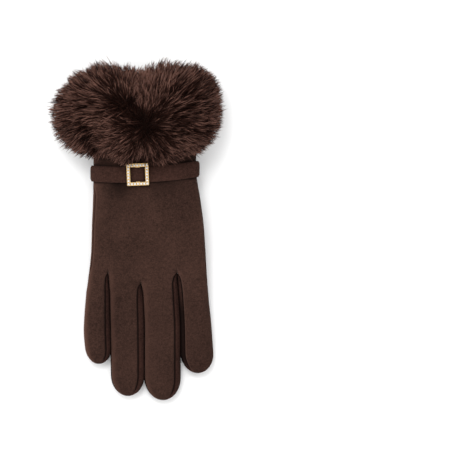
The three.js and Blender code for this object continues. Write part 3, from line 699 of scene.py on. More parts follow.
@dataclass
class Cloth:
    """The glove's sewn panels, as strips that run from the cuff to each fingertip."""

    hand: HandShape
    shop: Workshop
    strap: "Strap"
    palm_rows: int = 48
    web_rows: int = 36
    finger_rows: int = 44
    columns: int = 27
    close_from: float = -58.0
    finger_fullness: float = 3.0
    valley: float = 1.8
    web_open: float = 0.12
    seam_run: float = 2.6
    row_run: float = 4.0
    web_run: float = 3.0
    # reach of the painted shade below each web
    web_shade: float = 6.0
    seam_depth: float = 1.0
    seam_width: float = 0.6
    seam_line: float = 0.75
    seam_start: float = 2.0
    under_seam: float = 26.0
    under_run: float = 9.0
    ridge: float = 0.35
    ridge_place: float = 1.5
    ridge_width: float = 0.8
    outer_seam: float = 0.35
    # painted shade deep in the finger gaps, and painted light round the side strips' tips
    gap_shade: float = 0.95
    tip_light: float = 0.8
    side_seam: Curve = Curve((-0.2, 0.05, 0.2, 0.8, 0.95, 1.15), (0, 0, 46, 44, 24, 6))
    # how strong the painted shadow below the strap is, by place across
    painted_strap_shadow: Curve = Curve(
        (-36, -30, -24, -19, -13, -8, 2, 8, 15, 26, 36),
        (0, 0.2, 0.75, 1, 0.85, 0.4, 0.2, 0.6, 0.65, 0.45, 0.15),
    )
    index_side_seam: Curve = Curve((-0.2, 0.1, 0.9, 1.2), (0, 16, 16, 6))

    def rows(self, finger: Finger) -> Array:
        """Places along a finger's strip: shared by all strips down to the lowest web, then its own."""
        hand = self.hand
        webs = sorted({hand.y_of(web.station) for web in hand.webs}, reverse=True)
        palm = np.linspace(hand.cuff_length, self.close_from, self.palm_rows)
        near = np.linspace(self.close_from, webs[-1] - self.row_run, self.web_rows)
        close = [web - self.row_run * np.linspace(0, 1, 9) ** 2 for web in webs]
        common = np.concatenate([palm, near, *close])
        tip = hand.y_of(1 + finger.reach)
        round_start = tip + finger.end_half * hand.palm_width * hand.tip_round
        straight = np.linspace(common.min(), round_start, self.finger_rows)
        curved = tip + (round_start - tip) * (1 - np.sin(np.linspace(0, math.pi / 2, 25)))
        return np.unique(np.concatenate([common, straight, curved]).round(4))[::-1]

    def edges(self, index: int, y: Array) -> tuple[Array, Array, Array]:
        """Left and right edges of a finger's strip, and how far its rounded tip has drawn in.

        Above its web an edge is the web's line through the palm, or the hand's own edge. Below the web it is the
        finger's edge, drawn back from its neighbour's a little way down by the distance times an exponential
        fall. The tip is an ellipse in plan.

        Args:
            index: The finger's number.
            y: Places along.

        Returns:
            The two edges, and the share of full width at each row.
        """
        hand, finger = self.hand, self.hand.fingers[index]
        s = hand.station_of(y)
        sides = []
        beside = ((-1, index - 1, hand.left, finger.left), (1, index, hand.right, finger.right))
        for way, web_index, outer, own in beside:
            if 0 <= web_index < len(hand.webs):
                web = hand.webs[web_index]
                below = hand.y_of(web.station) - y
                b = np.maximum(below, 0) / self.web_run
                parted = own(s) * hand.palm_width - way * self.web_open * b * np.exp(1 - b)
                sides.append(np.where(below > 0, parted, web.line(s) * hand.palm_width))
            else:
                switch = ease((s - 0.93) / 0.12)
                sides.append((outer(s) * (1 - switch) + own(s) * switch) * hand.palm_width)
        tip = hand.y_of(1 + finger.reach)
        length = finger.end_half * hand.palm_width * hand.tip_round
        t = np.clip((tip + length - y) / length, 0, 1)
        shrink = np.sqrt(np.maximum(0, 1 - t * t))
        centre, half = (sides[0] + sides[1]) / 2, (sides[1] - sides[0]) / 2
        return centre - half * shrink, centre + half * shrink, shrink

    def below_web(self, web_index: int, y: Array, run: float) -> Array:
        """Smooth step from 0 at a web to 1 a run of millimetres below it."""
        return ease((self.hand.y_of(self.hand.webs[web_index].station) - y) / run)

    def from_web(self, web_index: int, y: Array) -> Array:
        """Rise from 0 at a web towards 1, steep at first: the pointed arch at a side strip's upper end."""
        below = np.maximum(0, self.hand.y_of(self.hand.webs[web_index].station) - y)
        return 1 - np.exp(-((below / self.seam_run) ** 0.8))

    def web_pull(self, web_index: int, y: Array) -> Array:
        """How far the finger's section has taken over from the palm's at a web's line: 1 below the web."""
        above = np.maximum(0, y - self.hand.y_of(self.hand.webs[web_index].station))
        return np.exp(-((above / self.valley) ** 1.4))

    def section(self, index: int, y: Array, start: Array, end: Array) -> Array:
        """Grid of points over part of a finger's strip.

        Each row is an arc of a superellipse, between a start and an end angle, about the strip's middle.
        Towards the palm its height gives way to the palm's one wide arch, soonest away from the webs.

        Args:
            index: The finger's number.
            y: Places along, one for each row.
            start: Start angle of each row, in degrees from the index finger's side over the back.
            end: End angle of each row.

        Returns:
            Points, by row and column.
        """
        hand = self.hand
        left, right, shrink = self.edges(index, y)
        centre, half = (left + right) / 2, (right - left) / 2
        angle = np.radians(start[:, None] + (end - start)[:, None] * crowd(self.columns)[None, :])
        power = 2 / self.finger_fullness
        u, v = signed_power(np.cos(angle), power), signed_power(np.sin(angle), power)
        x = centre[:, None] + half[:, None] * u
        rows_y = np.broadcast_to(y[:, None], x.shape)
        last = len(hand.webs)
        pull_left = self.web_pull(max(index - 1, 0), y)
        pull_right = self.web_pull(min(index, last - 1), y)
        share = ease((u + 1) / 2)
        pull = pull_left[:, None] * (1 - share) + pull_right[:, None] * share
        finger_rise = hand.finger_thickness / 2 * shrink[:, None] ** 0.8 * v
        over = np.sign(np.sin(np.radians((start + end) / 2)))[:, None]
        over = np.where(np.abs(np.sin(angle)) < 1e-9, over, np.sign(v))
        palm_rise = over * hand.palm_rise(x, rows_y)
        z = hand.middle(x, rows_y) + palm_rise * (1 - pull) + finger_rise * pull
        return np.stack([x, rows_y, z], -1)

    def sew(self, points: Array, first: Array, last: Array) -> tuple[Array, Array]:
        """Rolls a panel's long edges in where they are sewn, and says where to paint shade along the grooves.

        A narrow groove at the edge, and a low ridge beside it where the sewing's allowance lies beneath, each
        a bell curve of the distance from the edge.

        Args:
            points: The panel's grid.
            first: How strongly the sewing shows at each row's first edge, in groove and painted shade.
            last: The same at its last edge.

        Returns:
            The grid with its grooves, and how near each point is to one, from 0 to 1, for its painted shade.
        """
        steps = np.linalg.norm(np.diff(points, axis=1), axis=-1)
        along = np.concatenate([np.zeros((len(points), 1)), np.cumsum(steps, axis=1)], axis=1)
        width = along[:, -1:]
        push = np.zeros_like(along)
        near = np.zeros_like(along)
        for distance, strength in ((along, first), (width - along, last)):
            groove = -self.seam_depth * np.exp(-((distance / self.seam_width) ** 2))
            ridge = self.ridge * np.exp(-(((distance - self.ridge_place) / self.ridge_width) ** 2))
            push += (groove + ridge) * strength[:, None]
            # painted shade along the groove, a bell curve of the distance from the edge
            near = np.maximum(near, np.exp(-((distance / self.seam_line) ** 2)) * strength[:, None])
        push *= np.clip(width / 6, 0, 1)
        return points + self.outward(points) * push[..., None], near

    def outward(self, points: Array) -> Array:
        """Unit directions out of the glove, square to its length."""
        across = np.gradient(points, axis=1)
        out = np.stack([across[..., 2], np.zeros_like(across[..., 0]), -across[..., 0]], -1)
        return unit(out)

    def strip_angles(self, index: int, y: Array, face: Face) -> tuple[Array, Array]:
        """Start and end angles of a finger's strip on the back or the palm.

        Args:
            index: The finger's number.
            y: Places along.
            face: The side of the hand.

        Returns:
            The angles of each row's first and last edge.
        """
        hand, finger = self.hand, self.hand.fingers[index]
        s = hand.station_of(y)
        last = len(hand.webs)
        right = finger.right_seam * self.from_web(min(index, last - 1), y)
        left = finger.left_seam * self.from_web(max(index - 1, 0), y)
        if index == 0:
            left = self.side_seam(s)
        if index == last:
            right = self.index_side_seam(s)
        if face is Face.BACK:
            return right, 180 - left
        if index == last:
            right_low = -right
        else:
            right_low = self.under_seam * self.below_web(index, y, self.under_run)
        if index == 0:
            left_low = -left
        else:
            left_low = self.under_seam * self.below_web(index - 1, y, self.under_run)
        return 180 + left_low, 360 - right_low

    def seam_strength(self, index: int, y: Array) -> tuple[Array, Array]:
        """Strength of the groove and painted shade at a strip's right and left edges: full on fingers, not above
        webs.
        """
        last = len(self.hand.webs)
        outer = np.full_like(y, self.outer_seam)
        right = outer if index == last else self.below_web(index, y, self.seam_start)
        left_share = min(1.0, self.hand.fingers[index].left_seam / 50)
        left = outer if index == 0 else self.below_web(index - 1, y, self.seam_start) * left_share
        fade = self.tip_fade(index, y)
        return right * fade, left * fade

    def tip_fade(self, index: int, y: Array) -> Array:
        """Share of the groove and painted shade left as the finger's rounded tip draws in: 1 before it, 0 at its
        end.
        """
        return ease(self.edges(index, y)[2] * 1.15) ** 2

    def strap_shade(self, grid: Array) -> Array:
        """How deep in painted shade each point is, most of all in the strap's shadow.

        Full beneath the strap and gone a few millimetres past its edges, reaching further towards the
        fingers on both sides of the buckle, and round the buckle. It rises again towards the fur, in its
        shade, and faintly over the last three fingers, where less light falls.
        """
        x, y = grid[..., 0], grid[..., 1]
        past = np.maximum(np.abs(y - self.strap.middle(x)) - self.strap.width / 2, 0)
        # painted shadow below the strap, reaching further on both sides of the buckle
        wide = self.painted_strap_shadow(x) * (y < self.strap.middle(x)) * np.exp(-((past / 10) ** 1.5))
        # painted shade from the fur over the cuff
        fur = 0.75 * ease((y - 6) / 8)
        # painted shade over the last three fingers, where less light falls
        fingers = 0.17 * ease((-y - 70) / 50) * ease((x + 40) / 15)
        # painted shade round the buckle
        buckle = self.strap.buckle_shade(x, y + 0.5)
        # painted shadow at the strap's edges, joined with the rest
        return np.max([0.95 * np.exp(-((past / 1.4) ** 2)), wide, fur, fingers, buckle], axis=0)

    def creases(self, points: Array) -> Array:
        """Lets the cloth swell and sink a little, less where it is held by the strap."""
        x, y = points[..., 0], points[..., 1]
        swell = 0.32 * ripple(x, y, 5, 34) + 0.14 * ripple(x, y, 9, 13)
        held = 1 - 0.7 * np.exp(-((y / 9) ** 2))
        points = points.copy()
        points[..., 2] += swell * held
        return points

    def panel(self, name: str, face: Face) -> Piece:
        """Builds a panel of four joined strips and gives its cloth a thickness.

        Args:
            name: The piece's name.
            face: The side of the hand.

        Returns:
            The panel.
        """
        sheet = Sheet()
        for index, finger in enumerate(self.hand.fingers):
            y = self.rows(finger)
            start, end = self.strip_angles(index, y, face)
            grid = self.section(index, y, start, end)
            right, left = self.seam_strength(index, y)
            if face is Face.BACK:
                grid, near = self.sew(grid, right, left)
                grid = self.creases(grid)
            else:
                grid, near = self.sew(grid, left, right)
                grid[..., 2] = np.maximum(grid[..., 2], self.under_height(grid))
            # painted shade in the grooves and under the strap, the buckle and the fur
            shade = np.maximum(near, self.strap_shade(grid))
            # painted light on the sides that face the light from the little finger's side
            light = np.clip(-1.25 * self.outward(grid)[..., 0] - 0.3, 0, 1)
            sheet.add(grid, shade, light, self.edges(index, y)[2])
        return self.join(name, sheet)

    def join(self, name: str, sheet: Sheet) -> Piece:
        """Makes a piece of its gathered grids, paints it and gives it a thickness."""
        piece = self.shop.mesh(name, np.concatenate(sheet.points), np.concatenate(sheet.faces))
        self.shop.paint(piece, "seam", np.concatenate(sheet.seams))
        self.shop.paint(piece, "nap", np.concatenate(sheet.painted_lights))
        self.thicken(piece, np.concatenate(sheet.weights))
        return piece

    def under_height(self, grid: Array) -> Array:
        """The lowest the palm's cloth may reach: the floor, or the top of the thumb that it lies on."""
        return np.maximum(FLOOR_GAP, Thumb.top_under(grid[..., 0], grid[..., 1]))

    def thicken(self, piece: Piece, weights: Array) -> None:
        """Gives cloth its thickness inwards, thinner into the fingertips where the two sides meet."""
        group = piece.vertex_groups.new(name="thickness")
        self.shop.paint(piece, "cloth_share", weights)
        self.shop.merge(piece)
        values = np.zeros(len(piece.data.vertices), np.float32)
        piece.data.attributes["cloth_share"].data.foreach_get("value", values)
        levels = np.round(values * 20).astype(int)
        for level in np.unique(levels):
            group.add(np.nonzero(levels == level)[0].tolist(), float(max(level / 20, 0.02)), "REPLACE")
        piece.data.attributes.remove(piece.data.attributes["cloth_share"])
        wall = piece.modifiers.new("cloth", "SOLIDIFY")
        wall.thickness = self.hand.cloth * MM
        wall.offset = -1
        wall.vertex_group = group.name
        wall.thickness_vertex_group = 0.0

    def fourchette(self, web_index: int) -> Piece:
        """Side strips of the two fingers beside a web, from the web to the fingertips.

        Their painted shade falls off from the web by an exponential, and down in the gap it fades where the
        shorter finger ends. They are painted lighter round the tips, where the sewing fades.

        Args:
            web_index: The web's number.

        Returns:
            The piece.
        """
        hand = self.hand
        web = hand.webs[web_index]
        shorter = max(hand.y_of(1 + finger.reach) for finger in hand.fingers[web_index : web_index + 2])
        share = np.linspace(0, 1, self.columns)[None, :]
        sheet = Sheet()
        for index, right_side in ((web_index, True), (web_index + 1, False)):
            y = self.rows(hand.fingers[index])
            y = y[y <= hand.y_of(web.station)]
            back_start, back_end = self.strip_angles(index, y, Face.BACK)
            palm_start, palm_end = self.strip_angles(index, y, Face.PALM)
            start, end = (palm_end - 360, back_start) if right_side else (back_end, palm_start)
            grid = self.section(index, y, start, end)
            fade = self.tip_fade(index, y)
            shown = self.below_web(web_index, y, self.seam_start) * fade
            grid, near = self.sew(grid, shown, shown)
            grid[..., 2] = np.maximum(grid[..., 2], FLOOR_GAP)
            below = hand.y_of(web.station) - y
            if right_side:
                low = np.exp(-((share / 0.42) ** 2))
            else:
                low = ease((below - 10) / 22)[:, None] * ease(share / 0.3 + 0.4)
            # painted shade down in the gap beside the neighbouring finger
            gap = self.gap_shade * low * ease((y - shorter) / 12)[:, None]
            # painted shade below the web
            deep = np.exp(-(below / self.web_shade))[:, None]
            shade = np.maximum(near, np.maximum(deep, gap))
            # painted light round the tips
            light = np.repeat(self.tip_light * (1 - fade), self.columns)
            sheet.add(grid, shade, light, self.edges(index, y)[2])
        return self.join(f"fourchette_{web.name}_cloth", sheet)

    def build(self) -> None:
        """Makes and dresses the panels and the fourchettes."""
        back = self.panel("back_cloth", Face.BACK)
        self.shop.finish(back, SUEDE, ("back_panel",))
        palm = self.panel("palm_cloth", Face.PALM)
        self.shop.finish(palm, SUEDE, ("palm_panel",))
        for index, web in enumerate(self.hand.webs):
            self.shop.finish(self.fourchette(index), SHADED_GUSSET_SUEDE, (f"fourchette_{web.name}",))


@dataclass
class Thumb:
    """The thumb, sewn to the palm and folded flat beneath it."""

    hand: HandShape
    shop: Workshop
    length: float = 42.0
    width: float = 25.0
    root: float = 26.0
    fold_radius: float = 0.8
    sides: int = 40
    dent_end: ClassVar[tuple[float, float]] = (28.0, 16.0)
    dent_half: ClassVar[float] = 13.4
    dent_height: ClassVar[float] = 10.3
    fold: ClassVar[tuple[float, float]] = (17.2, -31.07)
    turn: ClassVar[float] = math.radians(18)
    wide: Curve = Curve((0, 0.35, 0.62, 0.8, 0.91, 0.97, 1), (1, 1, 0.92, 0.8, 0.62, 0.38, 0.0))
    thick: Curve = Curve((0, 0.35, 0.62, 0.8, 0.91, 0.97, 1), (1, 1, 0.97, 0.9, 0.75, 0.52, 0.0))

    @classmethod
    def top_under(cls, x: Array, y: Array) -> Array:
        """Height of the palm's dent over the thumb: a rounded bar along the thumb, nothing elsewhere."""
        dx, dy = x - cls.fold[0], y - cls.fold[1]
        along = -math.sin(cls.turn) * dx - math.cos(cls.turn) * dy
        across = math.cos(cls.turn) * dx - math.sin(cls.turn) * dy
        inside = np.clip(np.abs(across) / cls.dent_half, 0, 1)
        end = np.clip((along - cls.dent_end[0]) / cls.dent_end[1], 0, 1)
        start = np.clip(-along / 3, 0, 1)
        return cls.dent_height * ((1 - inside**3) * (1 - end**3) * (1 - start)) ** 0.4

    def ring(self, centre: Array, across: Array, half_across: float, half_wide: float) -> Array:
        """One superellipse of the thumb, square to its length."""
        side = np.array([math.cos(self.turn), -math.sin(self.turn), 0])
        angle = np.linspace(0, 2 * math.pi, self.sides, endpoint=False)
        u, v = signed_power(np.cos(angle), 2 / 2.6), signed_power(np.sin(angle), 2 / 2.6)
        return centre + side * (u * half_wide)[:, None] + across * (v * half_across)[:, None]

    def build(self) -> None:
        """Lofts the thumb from its root in the palm, round its fold, to its tip.

        The root's rings fan about the fold through a right angle, and the lying rings then follow the
        thumb's line at half its thickness above the floor.
        """
        ahead = np.array([-math.sin(self.turn), -math.cos(self.turn), 0])
        down = np.array([0, 0, -1.0])
        thickness = self.hand.thumb_thickness
        fold = np.array([*self.fold, thickness + self.fold_radius])
        rings = []
        for share in np.linspace(0, 1, 12):
            turn = share * math.pi / 2
            across = -ahead * math.cos(turn) + down * math.sin(turn)
            length = self.root + (thickness - self.root) * share * (2 - share)
            centre = fold + across * (self.fold_radius + length / 2)
            rings.append(self.ring(centre, across, length / 2, self.width / 2))
        for share in crowd(40)[1:]:
            half_thick = thickness / 2 * float(self.thick(np.array(share)))
            half_wide = self.width / 2 * float(self.wide(np.array(share)))
            centre = fold + ahead * share * self.length
            centre[2] = thickness / 2
            rings.append(self.ring(centre, down, half_thick, half_wide))
        grid = np.array(rings)
        grid[..., 2] = np.maximum(grid[..., 2] - 0.2, FLOOR_GAP)
        cap = np.concatenate([grid[:1].mean(axis=1, keepdims=True)] * self.sides, axis=1)
        grid = np.concatenate([cap, grid])
        faces = grid_faces(len(grid), self.sides, around_columns=True)
        thumb = self.shop.mesh("thumb_cloth", grid, faces)
        self.shop.merge(thumb)
        self.shop.finish(thumb, SUEDE, ("thumb",))


# Strap and buckle


@dataclass
class Strap:
    """The flat strap round the wrist, which passes under the buckle's sides and over its hidden bar."""

    hand: HandShape
    shop: Workshop
    width: float = 11.9
    thickness: float = 1.8
    ease_out: float = 0.5
    slope: float = 0.0438
    bow: float = 0.00165
    sink: float = 0.45
    buckle_x: float = -4.9
    buckle_size: float = 16.1
    buckle_bar: float = 2.45
    lift: float = 1.3
    steps: int = 420
    profile_sides: int = 36

    def middle(self, x: Array) -> Array:
        """Place along the hand of the strap's middle line, a shallow bow."""
        return self.slope * x + self.bow * x * x - self.sink

    def buckle_shade(self, x: Array, y: Array) -> Array:
        """How deep in the buckle's painted shade a place is: full under the frame, gone a little way off it."""
        reach = np.maximum(np.abs(x - self.buckle_x), np.abs(y - self.middle(self.buckle_x)))
        away = np.maximum(reach - self.buckle_size / 2, self.buckle_size / 2 - self.buckle_bar - reach)
        return 0.85 * np.exp(-((np.maximum(away, 0) / 0.9) ** 2))

    def build(self) -> None:
        """Carries a flat, round-edged profile round the wrist's outline.

        The profile is a superellipse, squarer along its width. It is lifted over the slide bar and pinched
        inside the buckle's window, both by smooth steps across.
        """
        angle = np.linspace(0, 2 * math.pi, self.steps, endpoint=False)
        turn = np.linspace(0, 2 * math.pi, self.profile_sides, endpoint=False)
        wide = signed_power(np.cos(turn), 2 / 5) * self.width / 2
        out = self.ease_out + self.thickness / 2 * (1 + signed_power(np.sin(turn), 2 / 2.6))
        base = self.hand.wrist(angle, 0)
        grown = self.hand.wrist(angle, 1)
        x = base[:, 0]
        away = np.abs(x - self.buckle_x)
        window = self.buckle_size / 2 - self.buckle_bar
        on_top = (np.sin(angle) > 0).astype(float)
        rise = on_top * self.lift * (1 - ease((away - 1.5) / (window - 1.5)))
        pinch = 1 - on_top * 0.12 * (1 - ease((away - window) / self.buckle_bar))
        pinch -= 0.13 * ease((np.abs(np.cos(angle)) - 0.985) / 0.015)
        grid = base[:, None, :] + (grown - base)[:, None, :] * out[None, :, None]
        grid[..., 1] = self.middle(x)[:, None] + wide[None, :] * pinch[:, None]
        grid[..., 2] += rise[:, None]
        grid[..., 2] += 0.1 * ripple(grid[..., 0], grid[..., 1], 21, 14) * on_top[:, None]
        faces = grid_faces(self.steps, self.profile_sides, True, True)
        strap = self.shop.mesh("strap_cloth", grid, faces)
        # painted shade round the buckle on the strap's top
        self.shop.paint(strap, "seam", self.buckle_shade(grid[..., 0], grid[..., 1]) * on_top[:, None])
        self.shop.finish(strap, STRAP_SUEDE, ("strap",))


# Fur


@dataclass(frozen=True)
class Puff:
    """One puff of the fur: its centre and half sizes, the point that its strands fan from, and its locks.

    Its lean carries it sideways by a share of the distance along the arm from its centre, and its fullness
    is the power of its superellipsoid. Its light scales how light its strands are painted, for how much light
    falls on that side of the cuff.
    """

    name: str
    centre: tuple[float, float, float]
    half: tuple[float, float, float]
    fan: tuple[float, float]
    locks: int
    light: float = 1.0
    lean: float = 0.0
    fullness: float = 2.25


@dataclass
class FurCuff:
    """The deep fur cuff: an undercoat round the arm's opening, near black for painted shade, and strands in
    pointed locks.
    """

    hand: HandShape
    shop: Workshop
    puffs: tuple[Puff, ...] = (
        Puff("left", (-28, 47.2, 26), (42.9, 37.4, 28), (-13, 49), 1950, 1.3, 0.14, 2.02),
        Puff("right", (21, 47.3, 26), (38.2, 37, 28), (3, 37), 1950, 1.05, 0.03, 2.5),
        Puff("front", (-3, 33, 30), (48, 29.5, 28), (0, 33), 3500, 0.94),
        Puff("back", (-9, 45, 21), (37, 34, 25), (-4, 40), 1400, 1.0),
        Puff("under", (-4, 44, 13), (52, 31, 14), (-4, 42), 1100, 0.8),
    )
    # painted shade and light on the fur, (x, y, reach, change): dark in creases and valleys, light where tips
    # catch light
    painted_shade_and_light_spots: tuple[tuple[float, float, float, float], ...] = (
        (-2, 38, 12, -0.75),
        (-12, 47, 9, -0.4),
        (-21, 53, 9, -0.5),
        (-10, 62, 6, -0.4),
        (-8, 73, 5, -0.75),
        (-46.5, 25, 5, -0.85),
        (-40.5, 15.5, 5, -0.85),
        (-36, 30, 8.5, 1.15),
        (-26, 70, 14, -0.35),
        (-1.5, 67, 10.5, 3.2),
        (22, 74, 12, 0.45),
        (-25, 14, 10, 0.55),
        (14, 38, 8, -0.3),
    )
    strands_in_lock: int = 9
    strand_length: float = 26.0
    radii: tuple[float, ...] = (0.14, 0.21, 0.18)
    lock_width: float = 2.3
    depth: float = 0.74
    points: int = 4
    arm_height: float = 16.5

    def along(self) -> Array:
        """Where a strand's points lie along it, crowded towards the tip."""
        return 1 - (1 - np.linspace(0, 1, self.points)) ** 1.6

    def undercoat(self) -> Piece:
        """Closed ring of dense wool round the arm's opening.

        For each angle round the arm, the outer skin lies where a ray from the arm's middle leaves the last
        of the shrunken puffs, between the first and the last place along the arm where that is outside the
        opening. The inner skin follows the opening, and the two skins join at both ends.

        Returns:
            The undercoat.
        """
        angles = np.linspace(0, 2 * math.pi, 220, endpoint=False)
        fine = np.linspace(5, 85, 161)
        outside = self.wool_reach(angles, fine) > self.arm_reach(angles, fine) + 1.5
        first = fine[np.argmax(outside, axis=0)]
        last = fine[len(fine) - 1 - np.argmax(outside[::-1], axis=0)]
        y = first + (last - first) * crowd(64)[:, None]
        inner = self.arm_reach(angles, y)
        outer = np.maximum(self.wool_reach(angles, y), inner + 1.0)
        loop = np.concatenate([self.ring_points(angles, y, outer), self.ring_points(angles, y, inner)[::-1]])
        loop[..., 2] = np.maximum(loop[..., 2], 0.3)
        return self.shop.mesh("fur_wool", loop, grid_faces(len(loop), len(angles), True, True))

    def ring_points(self, angles: Array, y: Array, reach: Array) -> Array:
        """Points at a reach from the arm's middle line, by place along it and angle round it."""
        y = np.broadcast_to(y, reach.shape)
        return np.stack([reach * np.cos(angles), y, self.arm_height + reach * np.sin(angles)], -1)

    def wool_reach(self, angles: Array, y: Array) -> Array:
        """Reach of the wool from the arm's middle line: where a ray leaves the last of the shrunken puffs.

        Args:
            angles: Angles round the arm.
            y: Places along it, as a row or one row for each angle.

        Returns:
            The reach by place and angle, 0 where the ray meets no puff.
        """
        y = y if y.ndim == 2 else y[:, None]
        reach = np.zeros(np.broadcast_shapes(y.shape, (1, len(angles))))
        for puff in self.puffs:
            half = np.array(puff.half) * self.depth
            px, pz = -puff.centre[0] / half[0], (self.arm_height - puff.centre[2]) / half[2]
            wx, wz = np.cos(angles) / half[0], np.sin(angles) / half[2]
            a, b = wx**2 + wz**2, px * wx + pz * wz
            c = px**2 + pz**2 - 1 + ((y - puff.centre[1]) / half[1]) ** 2
            root = b**2 - a * c
            reach = np.maximum(reach, np.where(root > 0, (-b + np.sqrt(np.maximum(root, 0))) / a, 0))
        return reach

    def arm_reach(self, angles: Array, y: Array) -> Array:
        """Reach of the arm's opening: the cuff's superellipse, a little larger past the cuff's end."""
        y = y if y.ndim == 2 else y[:, None]
        past = np.clip((y - self.hand.cuff_length) / 30, 0, 1)
        wide, tall, power = 38.9 + 4 * past, 8.0 + 1.2 * past, self.hand.fullness
        across, up = np.abs(np.cos(angles)) / wide, np.abs(np.sin(angles)) / tall
        return (across**power + up**power) ** (-1 / power)

    def lock_tips(self, number: int, puff: Puff, rng: np.random.Generator) -> tuple[Array, Array]:
        """Tips of a puff's locks with their outward directions.

        Tips are spread evenly over an ellipsoid along a golden-angle spiral, shaken a little, and kept
        where no other puff covers them and they are clear of the opening, the strap and the floor.

        Args:
            number: The puff's number.
            puff: The puff.
            rng: The random numbers.

        Returns:
            Tips and unit normals.
        """
        i = np.arange(puff.locks) + 0.5
        z = 1 - 2 * i / puff.locks
        flat = np.sqrt(1 - z * z)
        spin = GOLDEN_ANGLE * i
        way = np.stack([flat * np.cos(spin), flat * np.sin(spin), z], -1)
        way = unit(way + rng.normal(0, 0.03, way.shape))
        half = np.array(puff.half)
        uneven = 0.97 + 0.04 * ripple(way[:, 0] * 30 + way[:, 2] * 30, way[:, 1] * 30, 40 + number, 9)
        full = (np.abs(way) ** puff.fullness).sum(-1) ** (-1 / puff.fullness)
        reach = full * uneven * rng.uniform(0.95, 1.03, puff.locks)
        tip = np.array(puff.centre) + way * half * reach[:, None]
        tip[:, 0] += puff.lean * (tip[:, 1] - puff.centre[1])
        normal = unit(way / half)
        keep = (tip[:, 2] > -4) & ~self.in_the_way(tip)
        for other_number, other in enumerate(self.puffs):
            if other_number != number:
                inside = np.linalg.norm((tip - np.array(other.centre)) / (np.array(other.half) - 6), axis=1)
                keep &= inside > 1
        if puff.name == "front":  # its lower left lies behind the left puff, past a slanting line
            keep &= tip[:, 1] > 17 - 0.667 * (tip[:, 0] + 36)
        return tip[keep], normal[keep]

    def in_the_way(self, tip: Array) -> Array:
        """Whether locks would end in the arm's opening, in the cloth by the strap or over the buckle."""
        x, y, z = tip.T
        opening = (np.abs(x) < 40) & (np.abs(z - self.arm_height) < 8.7)
        strap = (y < 12) & (z < 25.5) & (np.abs(x) < 42)
        buckle = (y < 8.2) & (np.abs(x + 4.9) < 10)
        return opening | strap | buckle

    def strands(self, number: int, puff: Puff) -> Piece:
        """All strands of a puff as one mesh of thin three-sided tapered tubes.

        A lock's strands start spread out inside the puff and draw together to its tip. Each follows a bowed
        line: out of its root along the flow away from the puff's fan point, which wavers slowly from lock
        to lock, with a bow outwards and a sinking end.

        Args:
            number: The puff's number.
            puff: The puff.

        Returns:
            The strands.
        """
        rng = np.random.default_rng(100 + number)
        tips, normals = self.lock_tips(number, puff, rng)
        locks, each = len(tips), self.strands_in_lock
        flow = tips - np.array([*puff.fan, 0.0])
        flow[:, 2] = 0
        away = np.linalg.norm(flow, axis=1)
        flow = unit(flow)
        sideways = np.stack([-flow[:, 1], flow[:, 0], np.zeros(locks)], -1)
        waver = 0.14 * ripple(tips[:, 0], tips[:, 1] + tips[:, 2], 60 + number, 16)[:, None]
        ahead = unit(flow + waver * sideways + 0.42 * normals + rng.normal(0, 0.055, flow.shape))
        side = unit(np.cross(ahead, normals + 0.01))
        other = np.cross(ahead, side)
        shorter = np.clip(0.6 + away / 60, 0.6, 1)[:, None]
        length = self.strand_length * rng.uniform(0.7, 1.15, (locks, 1)) * shorter
        spread = rng.normal(0, 1, (locks, each, 2))
        share = rng.uniform(0.8, 1.05, (locks, each, 1))
        rim = 1 - np.abs(normals[:, 2])
        drawn = (0.95 - 0.7 * rim)[:, None, None]
        loose = np.where(rng.uniform(size=(locks, each, 1)) < 0.35, 1.1, drawn)
        curl = rng.normal(0, 0.07, (locks, 1, 2)) + rng.normal(0, 0.02, (locks, each, 2))
        t = self.along()
        width = self.lock_width * ((1 - t) + loose[..., None, 0] * t)
        offset = spread[:, :, None] * width[..., None]
        offset = offset + curl[:, :, None] * length[:, None, None] * (t**2)[:, None]
        reach = (t * share - 1)[..., None] * length[:, None, None]
        bow = 0.13 * length[:, None, None] * (4 * t * (1 - t))[:, None]
        sink = 0.05 * length[:, None, None] * (t**3)[:, None]
        paths = tips[:, None, None] + ahead[:, None, None] * reach + normals[:, None, None] * bow
        paths = paths + side[:, None, None] * offset[..., :1] + other[:, None, None] * offset[..., 1:]
        paths = paths - np.array([0, 0, 1.0]) * sink
        paths[..., 2] = np.maximum(paths[..., 2], 0.25)
        light = self.shades(tips, normals, away, puff, rng)
        paths = paths.reshape(-1, self.points, 3)
        return self.tubes(f"fur_{puff.name}", paths, light.reshape(-1, self.points), rng)

    def shades(
        self, tips: Array, normals: Array, away: Array, puff: Puff, rng: np.random.Generator
    ) -> Array:
        """Lightness of each strand point.

        It rises along the strand, partly the fur's own tone and partly painted shade deep in the pile, and away
        from the fan point, painted shade in the middle of the puff. It differs from lock to lock, from strand to
        strand, and in slow streaks round the fan point. Painted spots of shade and light, and painted light on
        the puffs' rims, lie over it.

        Args:
            tips: The locks' tips.
            normals: Directions out of the puff there.
            away: The tips' distances from the fan point.
            puff: The puff.
            rng: The random numbers.

        Returns:
            Lightness from 0 to 1.
        """
        locks, each = len(tips), self.strands_in_lock
        t = self.along()
        turn = np.arctan2(tips[:, 1] - puff.fan[1], tips[:, 0] - puff.fan[0])
        streak = 1 + 0.3 * ripple(turn * 30, away * 0.12 + tips[:, 2] * 0.1, 80, 4)
        # painted shade near the fan point, deep in the middle of the puff
        lock = streak * rng.normal(1, 0.24, locks) * np.clip(0.25 + away / 30, 0.25, 1)
